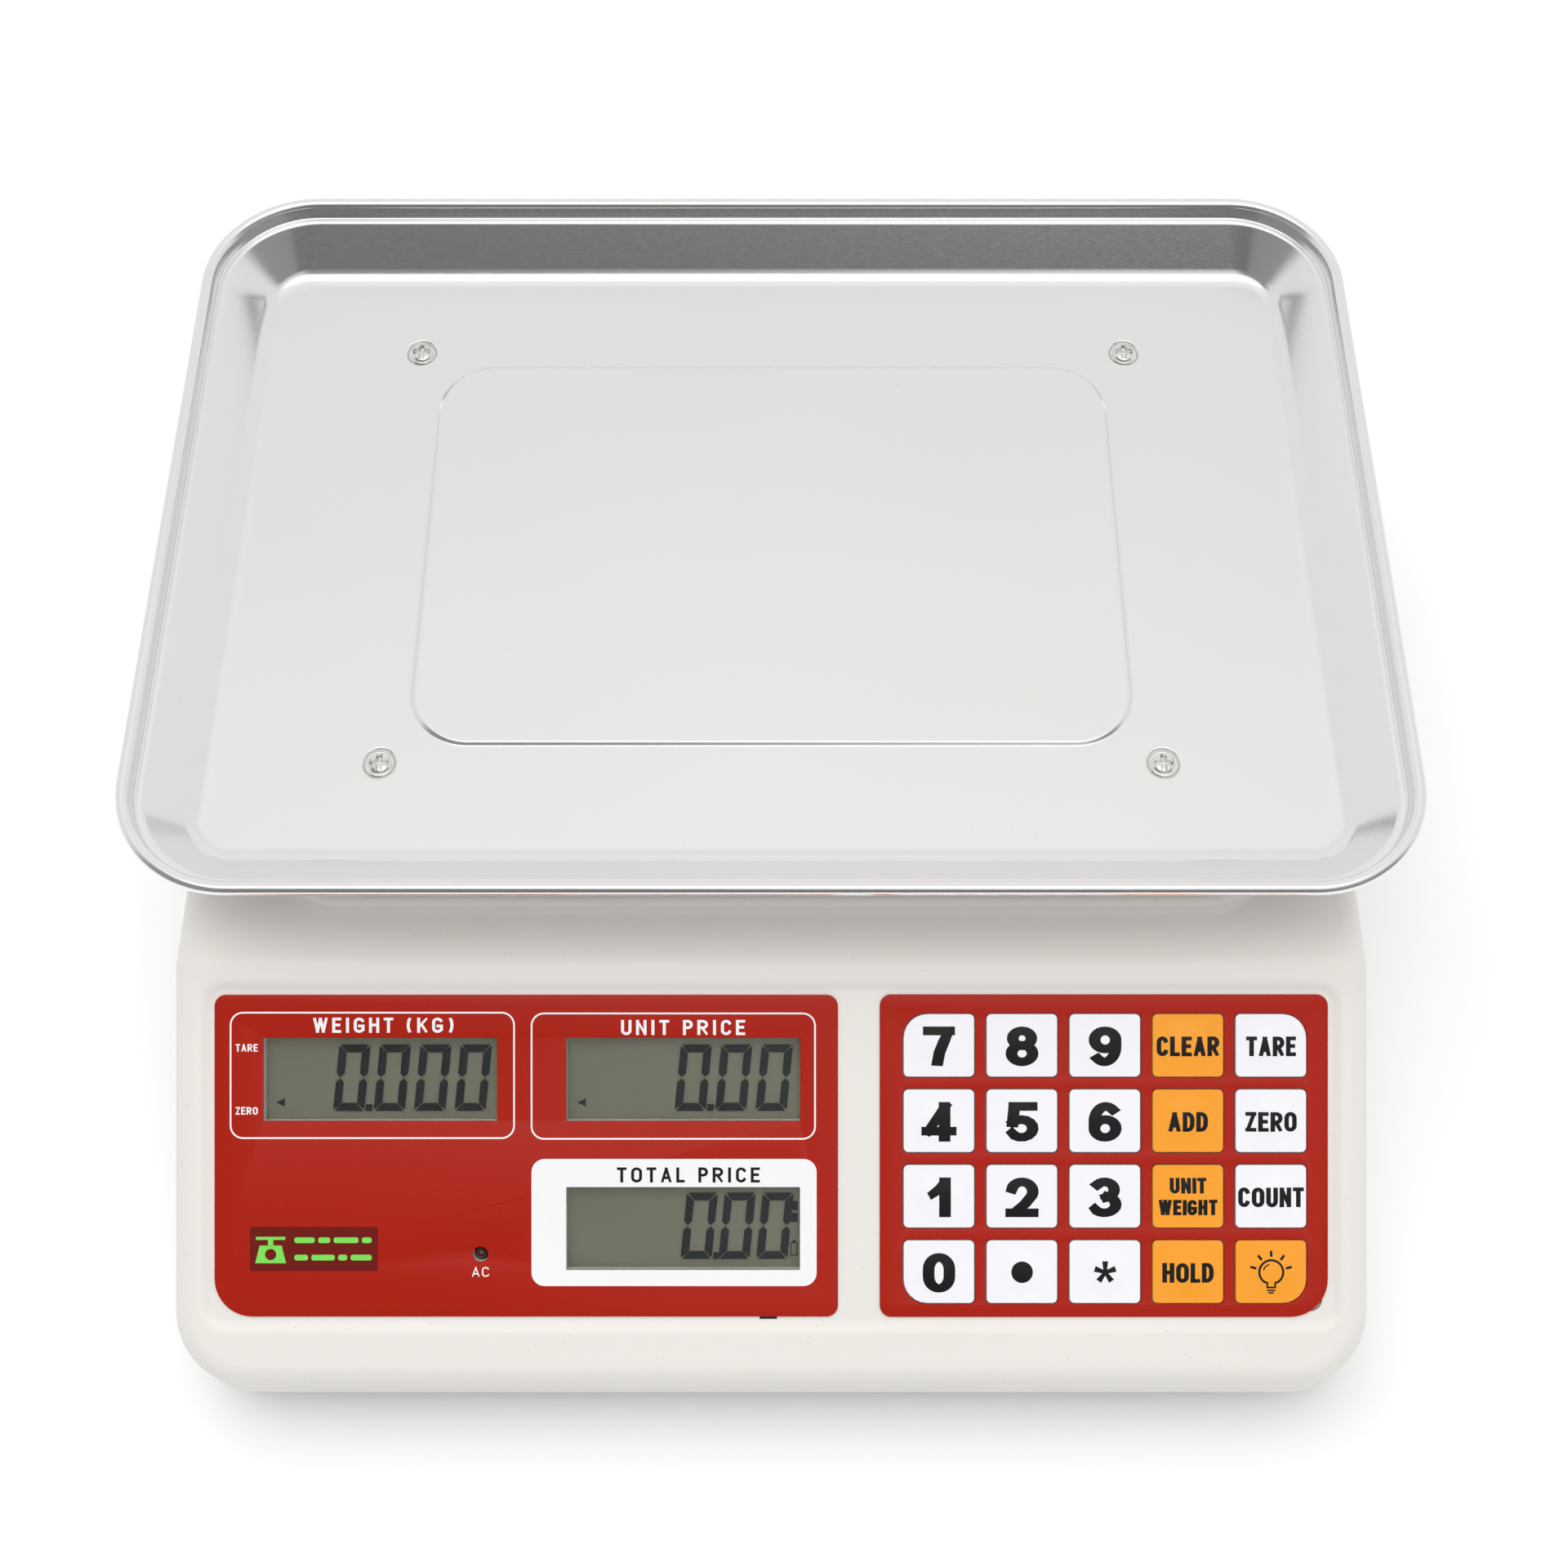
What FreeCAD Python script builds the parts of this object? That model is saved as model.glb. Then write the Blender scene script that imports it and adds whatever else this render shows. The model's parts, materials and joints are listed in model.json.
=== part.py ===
"""Retail price scale: pan, weighing bracket, housing, keypad and displays.

Millimetres.  X runs to the right, Y to the back, Z up.  The origin is at the
centre of the whole scale's footprint, on the surface that the feet stand on.
"""
import FreeCAD
import Part
import math
import os

os.makedirs("parts", exist_ok=True)

# ---------------------------------------------------------------- clearances
FILM_GAP = 0.12         # key cap to its window in the overlay, all round
LOOSE = 0.3             # pieces that slide past each other
SCREW_GAP = 0.1         # screw shank to its hole, radial
RUNNING = 0.06          # threaded stud or pivot in its bore, radial

# ---------------------------------------------------------------- pan
PAN_X = 340.0           # over the rolled rim
PAN_Y = 230.0
PAN_CORNER = 32.0
PAN_SHEET = 0.8
PAN_BEAD = 3.8          # diameter of the rolled rim
PAN_LEDGE = 3.9         # middle of the bead to the lip of the wall
PAN_RIM_RISE = 3.4      # middle of the bead above the ledge inside it
PAN_WALL_RUN = 11.0     # how far the sloping wall leans in
PAN_DEPTH = 18.0        # top of the rim to the floor
PAN_FLOOR_CORNER = 11.0
PAN_FOLD = 7.2          # inside radius where wall meets floor
EMBOSS_X = 199.0
EMBOSS_Y = 129.0
EMBOSS_CORNER = 17.0
EMBOSS_RISE = 0.8
EMBOSS_SLOPE = 1.6
DIMPLE_R = 4.8
DIMPLE_FLAT_R = 3.8
DIMPLE_DEPTH = 1.0

# ---------------------------------------------------------------- pan fixings
SUPPORT_X = 212.0       # spacing of the four pan screws
SUPPORT_Y = 139.0
PAN_SCREW_R = 2.0
PAN_SCREW_HEAD_R = 3.3
PAN_SCREW_HEAD_H = 2.0
PAN_SCREW_LENGTH = 14.0
LEG_R = 7.0
LEG_HOLE_GAP = 3.0      # leg to the hole in the housing, radial
LEG_PIN_R = 2.5
LEG_PIN_H = 7.0

# ---------------------------------------------------------------- keypad
KEY_COLUMNS = 5
KEY_ROWS = 4
KEY_PITCH_X = 22.0
KEY_PITCH_Y = 20.0
KEY_X = 18.7
KEY_Y = 16.6
KEY_CORNER = 1.3
KEY_OUTER_CORNER = 6.3  # the four keys in the keypad's corners
KEY_HEIGHT = 1.2
KEY_PROUD = 0.4         # key top over the overlay
KEY_TRAVEL = 0.5
KEYPAD_MARGIN_LEFT = 6.3
KEYPAD_MARGIN_RIGHT = 5.8
KEYPAD_MARGIN_TOP = 5.2
KEYPAD_MARGIN_BOTTOM = 3.7
KEY_NAMES = (
    ("7", "8", "9", "clear", "tare"),
    ("4", "5", "6", "add", "zero"),
    ("1", "2", "3", "unit_weight", "count"),
    ("0", "point", "star", "hold", "light"),
)

# ---------------------------------------------------------------- overlays
OVERLAY_T = 0.5
OVERLAY_CORNER = 3.0
OVERLAY_BIG_CORNER = 10.0
DISPLAY_X = 165.3
DISPLAY_Y = 85.3
OVERLAY_GAP = 11.1      # between the display overlay and the keypad overlay
CIRCUIT_T = 0.3
WINDOW_X = 62.0
WINDOW_Y = 22.0
LED_R = 1.5
LED_HOLE_R = 2.0
TAB_X = 4.6
TAB_Y = 5.0
TAB_SHOWS = 0.7         # stays on the flat of the recess floor
TAB_T = 0.15

# ---------------------------------------------------------------- housing
WALL = 2.8
SLOPE_WALL = 3.0        # below the recess floor
RECESS_DEPTH = 1.2
RECESS_SLOPE = 2.2
RECESS_LIP = 3.2        # rounding where the recess meets the slope
RECESS_FOOT = 2.6       # rounding where the recess meets its floor
SIDE_MARGIN = 11.8      # overlay edge to the side of the housing
TOP_MARGIN = 8.4        # overlay edge to the ridge
BOTTOM_MARGIN = 17.0    # overlay edge to the front wall
SLOPE_DEG = 26.3
DECK_Z = 83.0
RIDGE_R = 8.0
HOUSING_CORNER = 19.0
HOUSING_EDGE = 7.0
PLATEAU_RISE = 4.0
PLATEAU_INSET = 25.5    # from the sides of the housing
PLATEAU_FRONT = 15.2    # from the ridge
PLATEAU_REAR = 14.0     # from the rear wall
PLATEAU_CORNER = 18.0
PLATEAU_EDGE = 2.2
PLATEAU_FOOT = 1.7      # rounding where the platform meets the deck
RIDGE_TO_PAN = 6.7
REAR_OVERHANG = 5.0     # the pan reaches this far past the rear wall
PAN_CLEARANCE = 9.2     # plateau to the pan's underside

# ---------------------------------------------------------------- base
FOOT_H = 8.0            # surface to the underside of the base
BASE_H = 9.0            # visible height of the base
BASE_INSET = 1.5
LIP_T = 2.0
LIP_H = 4.0
POST_R = 4.6
POST_IN = 10.5          # housing side to the post's axis
HOUSING_SCREW_R = 1.75
HOUSING_SCREW_HEAD_R = 3.4
HOUSING_SCREW_HEAD_H = 2.2
HOUSING_SCREW_LENGTH = 16.0
FOOT_IN_X = 29.0
FOOT_IN_Y = 28.0
FOOT_R = 13.0
FOOT_PAD_H = 5.5
FOOT_STUD_R = 3.0
FOOT_STUD_TOP = 25.0
FOOT_FLANGE_R = 6.5
FOOT_FLANGE_H = 1.4
FOOT_BOSS_R = 8.0
FOOT_BOSS_TOP = 22.0

# ---------------------------------------------------------------- weighing
CELL_X = 130.0
CELL_Y = 30.0
CELL_Z = 22.0
CELL_GAUGE_R = 7.0
CELL_GAUGE_IN = 12.0
CELL_LIFT = 10.0        # base plate to the underside of the cell
CELL_BOLT_R = 3.0
CELL_BOLT_HEAD_R = 5.0
CELL_BOLT_HEAD_H = 4.0
CELL_BOLT_END = 8.0
CELL_BOLT_PITCH = 19.0
CELL_BOLT_DEPTH = 14.0
PLATE_T = 2.0
SPIDER_T = 3.2
SPIDER_LIFT = 6.0       # cell to the bracket
SPIDER_ARM = 22.0
SPIDER_RIB_T = 3.0
SPIDER_RIB_H = 3.5
SPIDER_PAD_R = 11.0
STOP_GAP = 0.9          # overload screw to the bracket
STOP_R = 2.5
STOP_HEAD_R = 4.4
STOP_HEAD_H = 3.4
STOP_SHOWS = 8.0
STOP_POST_R = 6.0
STOP_SHARE = 0.7        # how far out along each arm the stops stand

# ---------------------------------------------------------------- electrics
LCD_RIM = 2.0           # glass past the window, all round
LCD_T = 2.8
BOARD_T = 1.6
BATTERY = (101.0, 47.0, 47.0)
BATTERY_GAP = 2.0
DOOR_T = 1.6
DOOR_TRAVEL = 40.0
DOOR_LAP = 4.0
RAIL_T = 2.0
TRANSFORMER = (48.0, 38.0, 40.0)
POWER_BOARD = (50.0, 46.0)
INLET_Y_FROM_REAR = 68.0
SWITCH_Y_FROM_REAR = 98.0
SIDE_PORT_Z = 42.0
INLET_FLANGE = (33.0, 22.0, 2.0)
INLET_BODY = (24.0, 15.0, 20.0)
INLET_SOCKET = (16.6, 8.6, 12.0)
PIN_R = 1.2
PIN_PITCH = 8.6
PIN_LENGTH = 9.0
SWITCH_FLANGE = (23.0, 15.0, 2.0)
SWITCH_BODY = (20.6, 12.6, 16.0)
SWITCH_CAVITY = (17.8, 10.0, 11.0)
ROCKER_HALF = 7.5
ROCKER_PROUD = 1.8
ROCKER_PIVOT = 5.0      # pivot below the flange face
ROCKER_TILT = 10.0
ROCKER_PIN_R = 1.2
REAR_PANEL = (248.0, 46.0)
REAR_RECESS = 0.6
REAR_PITCH = 76.0
REAR_WINDOW_DROP = 3.0  # windows below the rear overlay's middle

# ---------------------------------------------------------------- derived
SLOPE = math.radians(SLOPE_DEG)
KEYPAD_X = KEYPAD_MARGIN_LEFT + (KEY_COLUMNS - 1) * KEY_PITCH_X + KEY_X + KEYPAD_MARGIN_RIGHT
KEYPAD_Y = KEYPAD_MARGIN_TOP + (KEY_ROWS - 1) * KEY_PITCH_Y + KEY_Y + KEYPAD_MARGIN_BOTTOM
BODY_X = 2 * SIDE_MARGIN + DISPLAY_X + OVERLAY_GAP + KEYPAD_X
SLOPE_LENGTH = TOP_MARGIN + max(DISPLAY_Y, KEYPAD_Y) + BOTTOM_MARGIN
SLOPE_RUN = SLOPE_LENGTH * math.cos(SLOPE)
DEPTH = SLOPE_RUN + RIDGE_TO_PAN + PAN_Y
FRONT = -DEPTH / 2
RIDGE = FRONT + SLOPE_RUN
REAR = DEPTH / 2 - REAR_OVERHANG
PAN_MID = DEPTH / 2 - PAN_Y / 2
SIDE = BODY_X / 2
PLATEAU_Z = DECK_Z + PLATEAU_RISE
PAN_FLOOR = PLATEAU_Z + PAN_CLEARANCE + PAN_SHEET
PAN_TOP = PAN_FLOOR + PAN_DEPTH
PAN_LEDGE_TOP = PAN_TOP - PAN_BEAD / 2 - PAN_RIM_RISE
BASE_TOP = FOOT_H + BASE_H
FLOOR_IN = FOOT_H + WALL
# The panel's own frame: its middle lies on the recess floor.
PANEL_V = SLOPE_LENGTH / 2 + (TOP_MARGIN - BOTTOM_MARGIN) / 2
PANEL_AT = FreeCAD.Vector(
    0,
    RIDGE - PANEL_V * math.cos(SLOPE) + RECESS_DEPTH * math.sin(SLOPE),
    DECK_Z - PANEL_V * math.sin(SLOPE) - RECESS_DEPTH * math.cos(SLOPE),
)
PANEL = FreeCAD.Placement(PANEL_AT, FreeCAD.Rotation(FreeCAD.Vector(1, 0, 0), SLOPE_DEG))
DISPLAY_MID = -SIDE + SIDE_MARGIN + DISPLAY_X / 2
KEYPAD_MID = SIDE - SIDE_MARGIN - KEYPAD_X / 2
CELL_LOW = FLOOR_IN + PLATE_T + CELL_LIFT
CELL_HIGH = CELL_LOW + CELL_Z
SPIDER_LOW = CELL_HIGH + SPIDER_LIFT
SPIDER_HIGH = SPIDER_LOW + SPIDER_T
LEG_TOP = PAN_FLOOR - DIMPLE_DEPTH - PAN_SHEET
SUPPORTS = [
    (sx * SUPPORT_X / 2, PAN_MID + sy * SUPPORT_Y / 2)
    for sx in (-1, 1)
    for sy in (-1, 1)
]
STOPS = [(x * STOP_SHARE, PAN_MID + (y - PAN_MID) * STOP_SHARE) for x, y in SUPPORTS]
POSTS = [
    (sx * (SIDE - POST_IN), y)
    for sx in (-1, 1)
    for y in (FRONT + 58.0, PAN_MID - 23.0, REAR - 23.0)
]
FEET = {
    "front_left": (-SIDE + FOOT_IN_X, FRONT + FOOT_IN_Y),
    "front_right": (SIDE - FOOT_IN_X, FRONT + FOOT_IN_Y),
    "rear_left": (-SIDE + FOOT_IN_X, REAR - FOOT_IN_Y),
    "rear_right": (SIDE - FOOT_IN_X, REAR - FOOT_IN_Y),
}


# ---------------------------------------------------------------- helpers
def vec(x, y, z):
    return FreeCAD.Vector(x, y, z)


def outline(width, depth, radii, mid=(0, 0), z=0.0):
    """Closed rounded rectangle.  radii: front right, back right, back left, front left."""
    if not isinstance(radii, (tuple, list)):
        radii = (radii,) * 4
    corners = ((1, -1), (1, 1), (-1, 1), (-1, -1))
    edges = []
    ends = []
    for number, (sx, sy) in enumerate(corners):
        radius = radii[number]
        cx = mid[0] + sx * (width / 2 - radius)
        cy = mid[1] + sy * (depth / 2 - radius)
        start = math.radians(-90 + 90 * number)
        points = [
            vec(cx + radius * math.cos(start + turn), cy + radius * math.sin(start + turn), z)
            for turn in (0, math.pi / 4, math.pi / 2)
        ]
        ends.append((points[0], points[2]))
        edges.append(Part.Arc(*points).toShape())
    for number in range(4):
        here = ends[number][1]
        following = ends[(number + 1) % 4][0]
        edges.append(Part.LineSegment(here, following).toShape())
    return Part.Wire(Part.__sortEdges__(edges))


def slab(width, depth, radii, low, high, mid=(0, 0)):
    """Rounded rectangle from height low to height high."""
    face = Part.Face(outline(width, depth, radii, mid, low))
    return face.extrude(vec(0, 0, high - low))


def tapered(low_size, low_radius, low, high_size, high_radius, high, mid=(0, 0)):
    """Solid with straight walls between two rounded rectangles."""
    wires = [
        outline(low_size[0], low_size[1], low_radius, mid, low),
        outline(high_size[0], high_size[1], high_radius, mid, high),
    ]
    return Part.makeLoft(wires, True, True)


def block(width, depth, low, high, mid=(0, 0)):
    """Plain box centred on mid."""
    corner = vec(mid[0] - width / 2, mid[1] - depth / 2, low)
    return Part.makeBox(width, depth, high - low, corner)


def post(radius, low, high, at):
    """Upright cylinder."""
    return Part.makeCylinder(radius, high - low, vec(at[0], at[1], low))


def joined(shapes):
    """One solid from shapes that touch or overlap."""
    whole = shapes[0].fuse(shapes[1:]) if len(shapes) > 1 else shapes[0]
    return whole.removeSplitter()


def group(shapes):
    """Separate solids in one node."""
    return Part.makeCompound(shapes)


def on_panel(shape):
    """Moves a shape from the panel's frame to the scale's frame."""
    placed = shape.copy()
    placed.Placement = PANEL.multiply(placed.Placement)
    return placed


def rounded_top(shape, radius, height):
    """Fillets every edge that lies at the given height."""
    edges = [
        edge for edge in shape.Edges
        if abs(edge.BoundBox.ZMin - height) < 1e-4 and abs(edge.BoundBox.ZMax - height) < 1e-4
    ]
    return shape.makeFillet(radius, edges)


def save(name, shape):
    """Writes one node."""
    for solid in shape.Solids:
        if not solid.isValid():
            print("invalid solid in", name)
    shape.exportStep("parts/" + name + ".step")


# ---------------------------------------------------------------- panel layout
# Places on the display overlay, from its middle.
WINDOWS = {
    "weight": (-38.7, 20.2),
    "unit_price": (41.6, 20.2),
    "total_price": (41.6, -19.3),
}
LED_AT = (-12.1, -26.1)
TAB_AT = 64.2
DISPLAY_BOARD = (DISPLAY_X - 14.0, DISPLAY_Y - 5.0)
BOARD_POST_IN = 3.4
BOARD_POST_R = 3.0
BOARD_PIN_R = 1.4
OVERLAY_SEAT = 1.4      # recess floor past the overlays
LCD_TOP = -SLOPE_WALL - 0.1
BOARD_TOP = LCD_TOP - LCD_T
CIRCUIT_LOW = -RECESS_DEPTH
KEY_LOW = OVERLAY_T + KEY_PROUD - KEY_HEIGHT
REAR_Z = (BASE_TOP + DECK_Z) / 2
REAR_WINDOWS = [(turn * REAR_PITCH, REAR_Z - REAR_WINDOW_DROP) for turn in (-1, 0, 1)]


def board_posts():
    """Middles of the four posts that hold the display board, on the panel."""
    half_x = DISPLAY_BOARD[0] / 2 - BOARD_POST_IN
    half_y = DISPLAY_BOARD[1] / 2 - BOARD_POST_IN
    return [(DISPLAY_MID + sx * half_x, sy * half_y) for sx in (-1, 1) for sy in (-1, 1)]


def key_places():
    """Name, middle and corner radii of each key, on the panel."""
    left = KEYPAD_MID - KEYPAD_X / 2 + KEYPAD_MARGIN_LEFT + KEY_X / 2
    top = KEYPAD_Y / 2 - KEYPAD_MARGIN_TOP - KEY_Y / 2
    outer = {
        (0, 0): 2,
        (0, KEY_COLUMNS - 1): 1,
        (KEY_ROWS - 1, 0): 3,
        (KEY_ROWS - 1, KEY_COLUMNS - 1): 0,
    }
    for row, names in enumerate(KEY_NAMES):
        for column, name in enumerate(names):
            radii = [KEY_CORNER] * 4
            if (row, column) in outer:
                radii[outer[(row, column)]] = KEY_OUTER_CORNER
            middle = (left + column * KEY_PITCH_X, top - row * KEY_PITCH_Y)
            yield name, middle, radii


# ---------------------------------------------------------------- housing
def is_wall(face):
    """True for an upright face."""
    low_u, high_u, low_v, high_v = face.ParameterRange
    normal = face.normalAt((low_u + high_u) / 2, (low_v + high_v) / 2)
    return abs(normal.z) < 1e-6


def housing_block(inset, slope_inset, low):
    """Housing's outer form, or its hollow when the insets are not zero."""
    drop = slope_inset / math.cos(SLOPE)
    front = FRONT + inset
    rear = REAR - inset
    deck = DECK_Z - inset
    fold_r = RIDGE_R - inset
    ridge = RIDGE + (deck - DECK_Z + drop) / math.tan(SLOPE)
    front_z = DECK_Z - drop - (RIDGE - front) * math.tan(SLOPE)
    reach = fold_r * math.tan(SLOPE / 2)
    fold_low = vec(0, ridge - reach * math.cos(SLOPE), deck - reach * math.sin(SLOPE))
    fold_mid = vec(
        0,
        ridge + reach - fold_r * math.sin(SLOPE / 2),
        deck - fold_r * (1 - math.cos(SLOPE / 2)),
    )
    fold_high = vec(0, ridge + reach, deck)
    low_front = vec(0, front, low)
    high_front = vec(0, front, front_z)
    high_rear = vec(0, rear, deck)
    low_rear = vec(0, rear, low)
    edges = [
        Part.LineSegment(low_front, high_front).toShape(),
        Part.LineSegment(high_front, fold_low).toShape(),
        Part.Arc(fold_low, fold_mid, fold_high).toShape(),
        Part.LineSegment(fold_high, high_rear).toShape(),
        Part.LineSegment(high_rear, low_rear).toShape(),
        Part.LineSegment(low_rear, low_front).toShape(),
    ]
    side_view = Part.Face(Part.Wire(edges))
    side_view.translate(vec(-BODY_X, 0, 0))
    long_block = side_view.extrude(vec(2 * BODY_X, 0, 0))
    plan = slab(
        BODY_X - 2 * inset, rear - front, HOUSING_CORNER - inset, low, DECK_Z + 1,
        (0, (front + rear) / 2),
    )
    shape = plan.common(long_block).removeSplitter()
    top_edges = []
    for edge in shape.Edges:
        walls = [is_wall(face) for face in shape.ancestorsOfType(edge, Part.Face)]
        if walls.count(True) == 1 and edge.BoundBox.ZMin > low + 1e-3:
            top_edges.append(edge)
    return shape.makeFillet(HOUSING_EDGE - inset, top_edges)


def plateau(inset, low):
    """Raised platform under the pan."""
    width = BODY_X - 2 * PLATEAU_INSET - 2 * inset
    front = RIDGE + PLATEAU_FRONT + inset
    rear = REAR - PLATEAU_REAR - inset
    high = PLATEAU_Z - inset
    middle = (0, (front + rear) / 2)
    shape = slab(width, rear - front, PLATEAU_CORNER - inset, low, high, middle)
    return rounded_top(shape, PLATEAU_EDGE - inset, high) if inset < PLATEAU_EDGE - 1 else shape


def panel_recess():
    """Shallow seat of both overlays, with soft sloping sides."""
    width = BODY_X - 2 * SIDE_MARGIN + 2 * OVERLAY_SEAT
    height = max(DISPLAY_Y, KEYPAD_Y) + 2 * OVERLAY_SEAT
    radius = OVERLAY_CORNER + OVERLAY_SEAT
    spread = 4 * RECESS_SLOPE
    return on_panel(tapered(
        (width, height), radius, 0,
        (width + spread, height + spread), radius + spread / 2, 2 * RECESS_DEPTH,
    ))


def edges_at(shape, height, placement=None):
    """Edges that lie whole at one height, in the panel's frame if its placement is given."""
    back = placement.inverse() if placement else FreeCAD.Placement()
    found = []
    for edge in shape.Edges:
        ends = (edge.FirstParameter, (edge.FirstParameter + edge.LastParameter) / 2, edge.LastParameter)
        if all(abs(back.multVec(edge.valueAt(at)).z - height) < 1e-4 for at in ends):
            found.append(edge)
    return found


def inside(edges, half_x, low_y, high_y):
    """Those edges whose middles lie in a rectangle of the plan."""
    kept = []
    for edge in edges:
        middle = edge.valueAt((edge.FirstParameter + edge.LastParameter) / 2)
        if abs(middle.x) < half_x and low_y < middle.y < high_y:
            kept.append(edge)
    return kept


def cover_form():
    """Outside of the top shell: block, platform and panel recess, with softened edges."""
    form = housing_block(0, 0, BASE_TOP).fuse(plateau(0, DECK_Z - 1)).removeSplitter()
    half = SIDE - PLATEAU_INSET + 1
    foot = inside(
        edges_at(form, DECK_Z), half, RIDGE + PLATEAU_FRONT - 1, REAR - PLATEAU_REAR + 1,
    )
    form = form.makeFillet(PLATEAU_FOOT, foot)
    form = form.cut(panel_recess()).removeSplitter()
    form = form.makeFillet(RECESS_LIP, edges_at(form, RECESS_DEPTH, PANEL))
    return form.makeFillet(RECESS_FOOT, edges_at(form, 0, PANEL))


def window_cut(middle, low, high, gap=0.0):
    """Hole for one display, on the panel."""
    width = WINDOW_X + 2 * gap
    height = WINDOW_Y + 2 * gap
    at = (DISPLAY_MID + middle[0], middle[1])
    return block(width, height, low, high, at)


def side_port(flange, depth, y):
    """Hole in the right wall for a part with the given body."""
    low = SIDE_PORT_Z - flange[1] / 2 - LOOSE / 2
    high = SIDE_PORT_Z + flange[1] / 2 + LOOSE / 2
    return block(depth, flange[0] + LOOSE, low, high, (SIDE, y))


def rear_cut(width, height, depth, at):
    """Hole or recess in the rear wall."""
    return block(width, 2 * depth, at[1] - height / 2, at[1] + height / 2, (at[0], REAR))


def upper_housing():
    """Moulded top shell with its posts, recesses and openings."""
    outer = cover_form()
    hollow = housing_block(WALL, RECESS_DEPTH + SLOPE_WALL, BASE_TOP - 1)
    hollow = hollow.fuse(plateau(WALL, DECK_Z - WALL - 1))
    posts = [post(POST_R, FLOOR_IN + SCREW_GAP, DECK_Z, at) for at in POSTS]
    low_posts = [post(POST_R, FLOOR_IN + SCREW_GAP, BASE_TOP + 2, at) for at in POSTS]
    shell = outer.cut(hollow)
    inner_posts = [shape.common(outer) for shape in posts]
    shell = shell.fuse(inner_posts + low_posts)
    holders = []
    for at in board_posts():
        holders.append(on_panel(post(BOARD_POST_R, BOARD_TOP, -SLOPE_WALL + 1, at)))
        holders.append(on_panel(post(BOARD_PIN_R, BOARD_TOP - BOARD_T - 0.8, -SLOPE_WALL, at)))
    shell = shell.fuse(holders)
    cuts = []
    keypad_room = (KEYPAD_X - 2 * OVERLAY_SEAT, KEYPAD_Y - 2 * OVERLAY_SEAT)
    cuts.append(on_panel(slab(
        keypad_room[0], keypad_room[1], OVERLAY_CORNER, CIRCUIT_LOW, 1, (KEYPAD_MID, 0),
    )))
    for middle in WINDOWS.values():
        cuts.append(on_panel(window_cut(middle, -SLOPE_WALL - 2, 1)))
    led_at = (DISPLAY_MID + LED_AT[0], LED_AT[1])
    cuts.append(on_panel(post(LED_HOLE_R, -SLOPE_WALL - 2, 1, led_at)))
    for at in SUPPORTS:
        cuts.append(post(LEG_R + LEG_HOLE_GAP, DECK_Z - 4 * WALL, PLATEAU_Z + 1, at))
    for at in POSTS:
        top = FLOOR_IN + HOUSING_SCREW_LENGTH
        cuts.append(post(HOUSING_SCREW_R + SCREW_GAP, FLOOR_IN, top, at))
    cuts.append(side_port(INLET_BODY, 4 * WALL, REAR - INLET_Y_FROM_REAR))
    cuts.append(side_port(SWITCH_BODY, 4 * WALL, REAR - SWITCH_Y_FROM_REAR))
    cuts.append(rear_cut(REAR_PANEL[0] + 1, REAR_PANEL[1] + 1, REAR_RECESS, (0, REAR_Z)))
    for at in REAR_WINDOWS:
        cuts.append(rear_cut(WINDOW_X, WINDOW_Y, 2 * WALL, at))
    shell = shell.cut(cuts).removeSplitter()
    save("upper_housing", shell)


def battery_middle():
    """Middle of the battery, in plan."""
    x = -SIDE + WALL + 21.0 + BATTERY[0] / 2
    y = RIDGE - 9.5 + BATTERY[1] / 2
    return x, y


def door_size():
    """Width and depth of the battery door."""
    lap = 2 * (BATTERY_GAP + DOOR_LAP)
    return BATTERY[0] + lap, BATTERY[1] + lap


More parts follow.
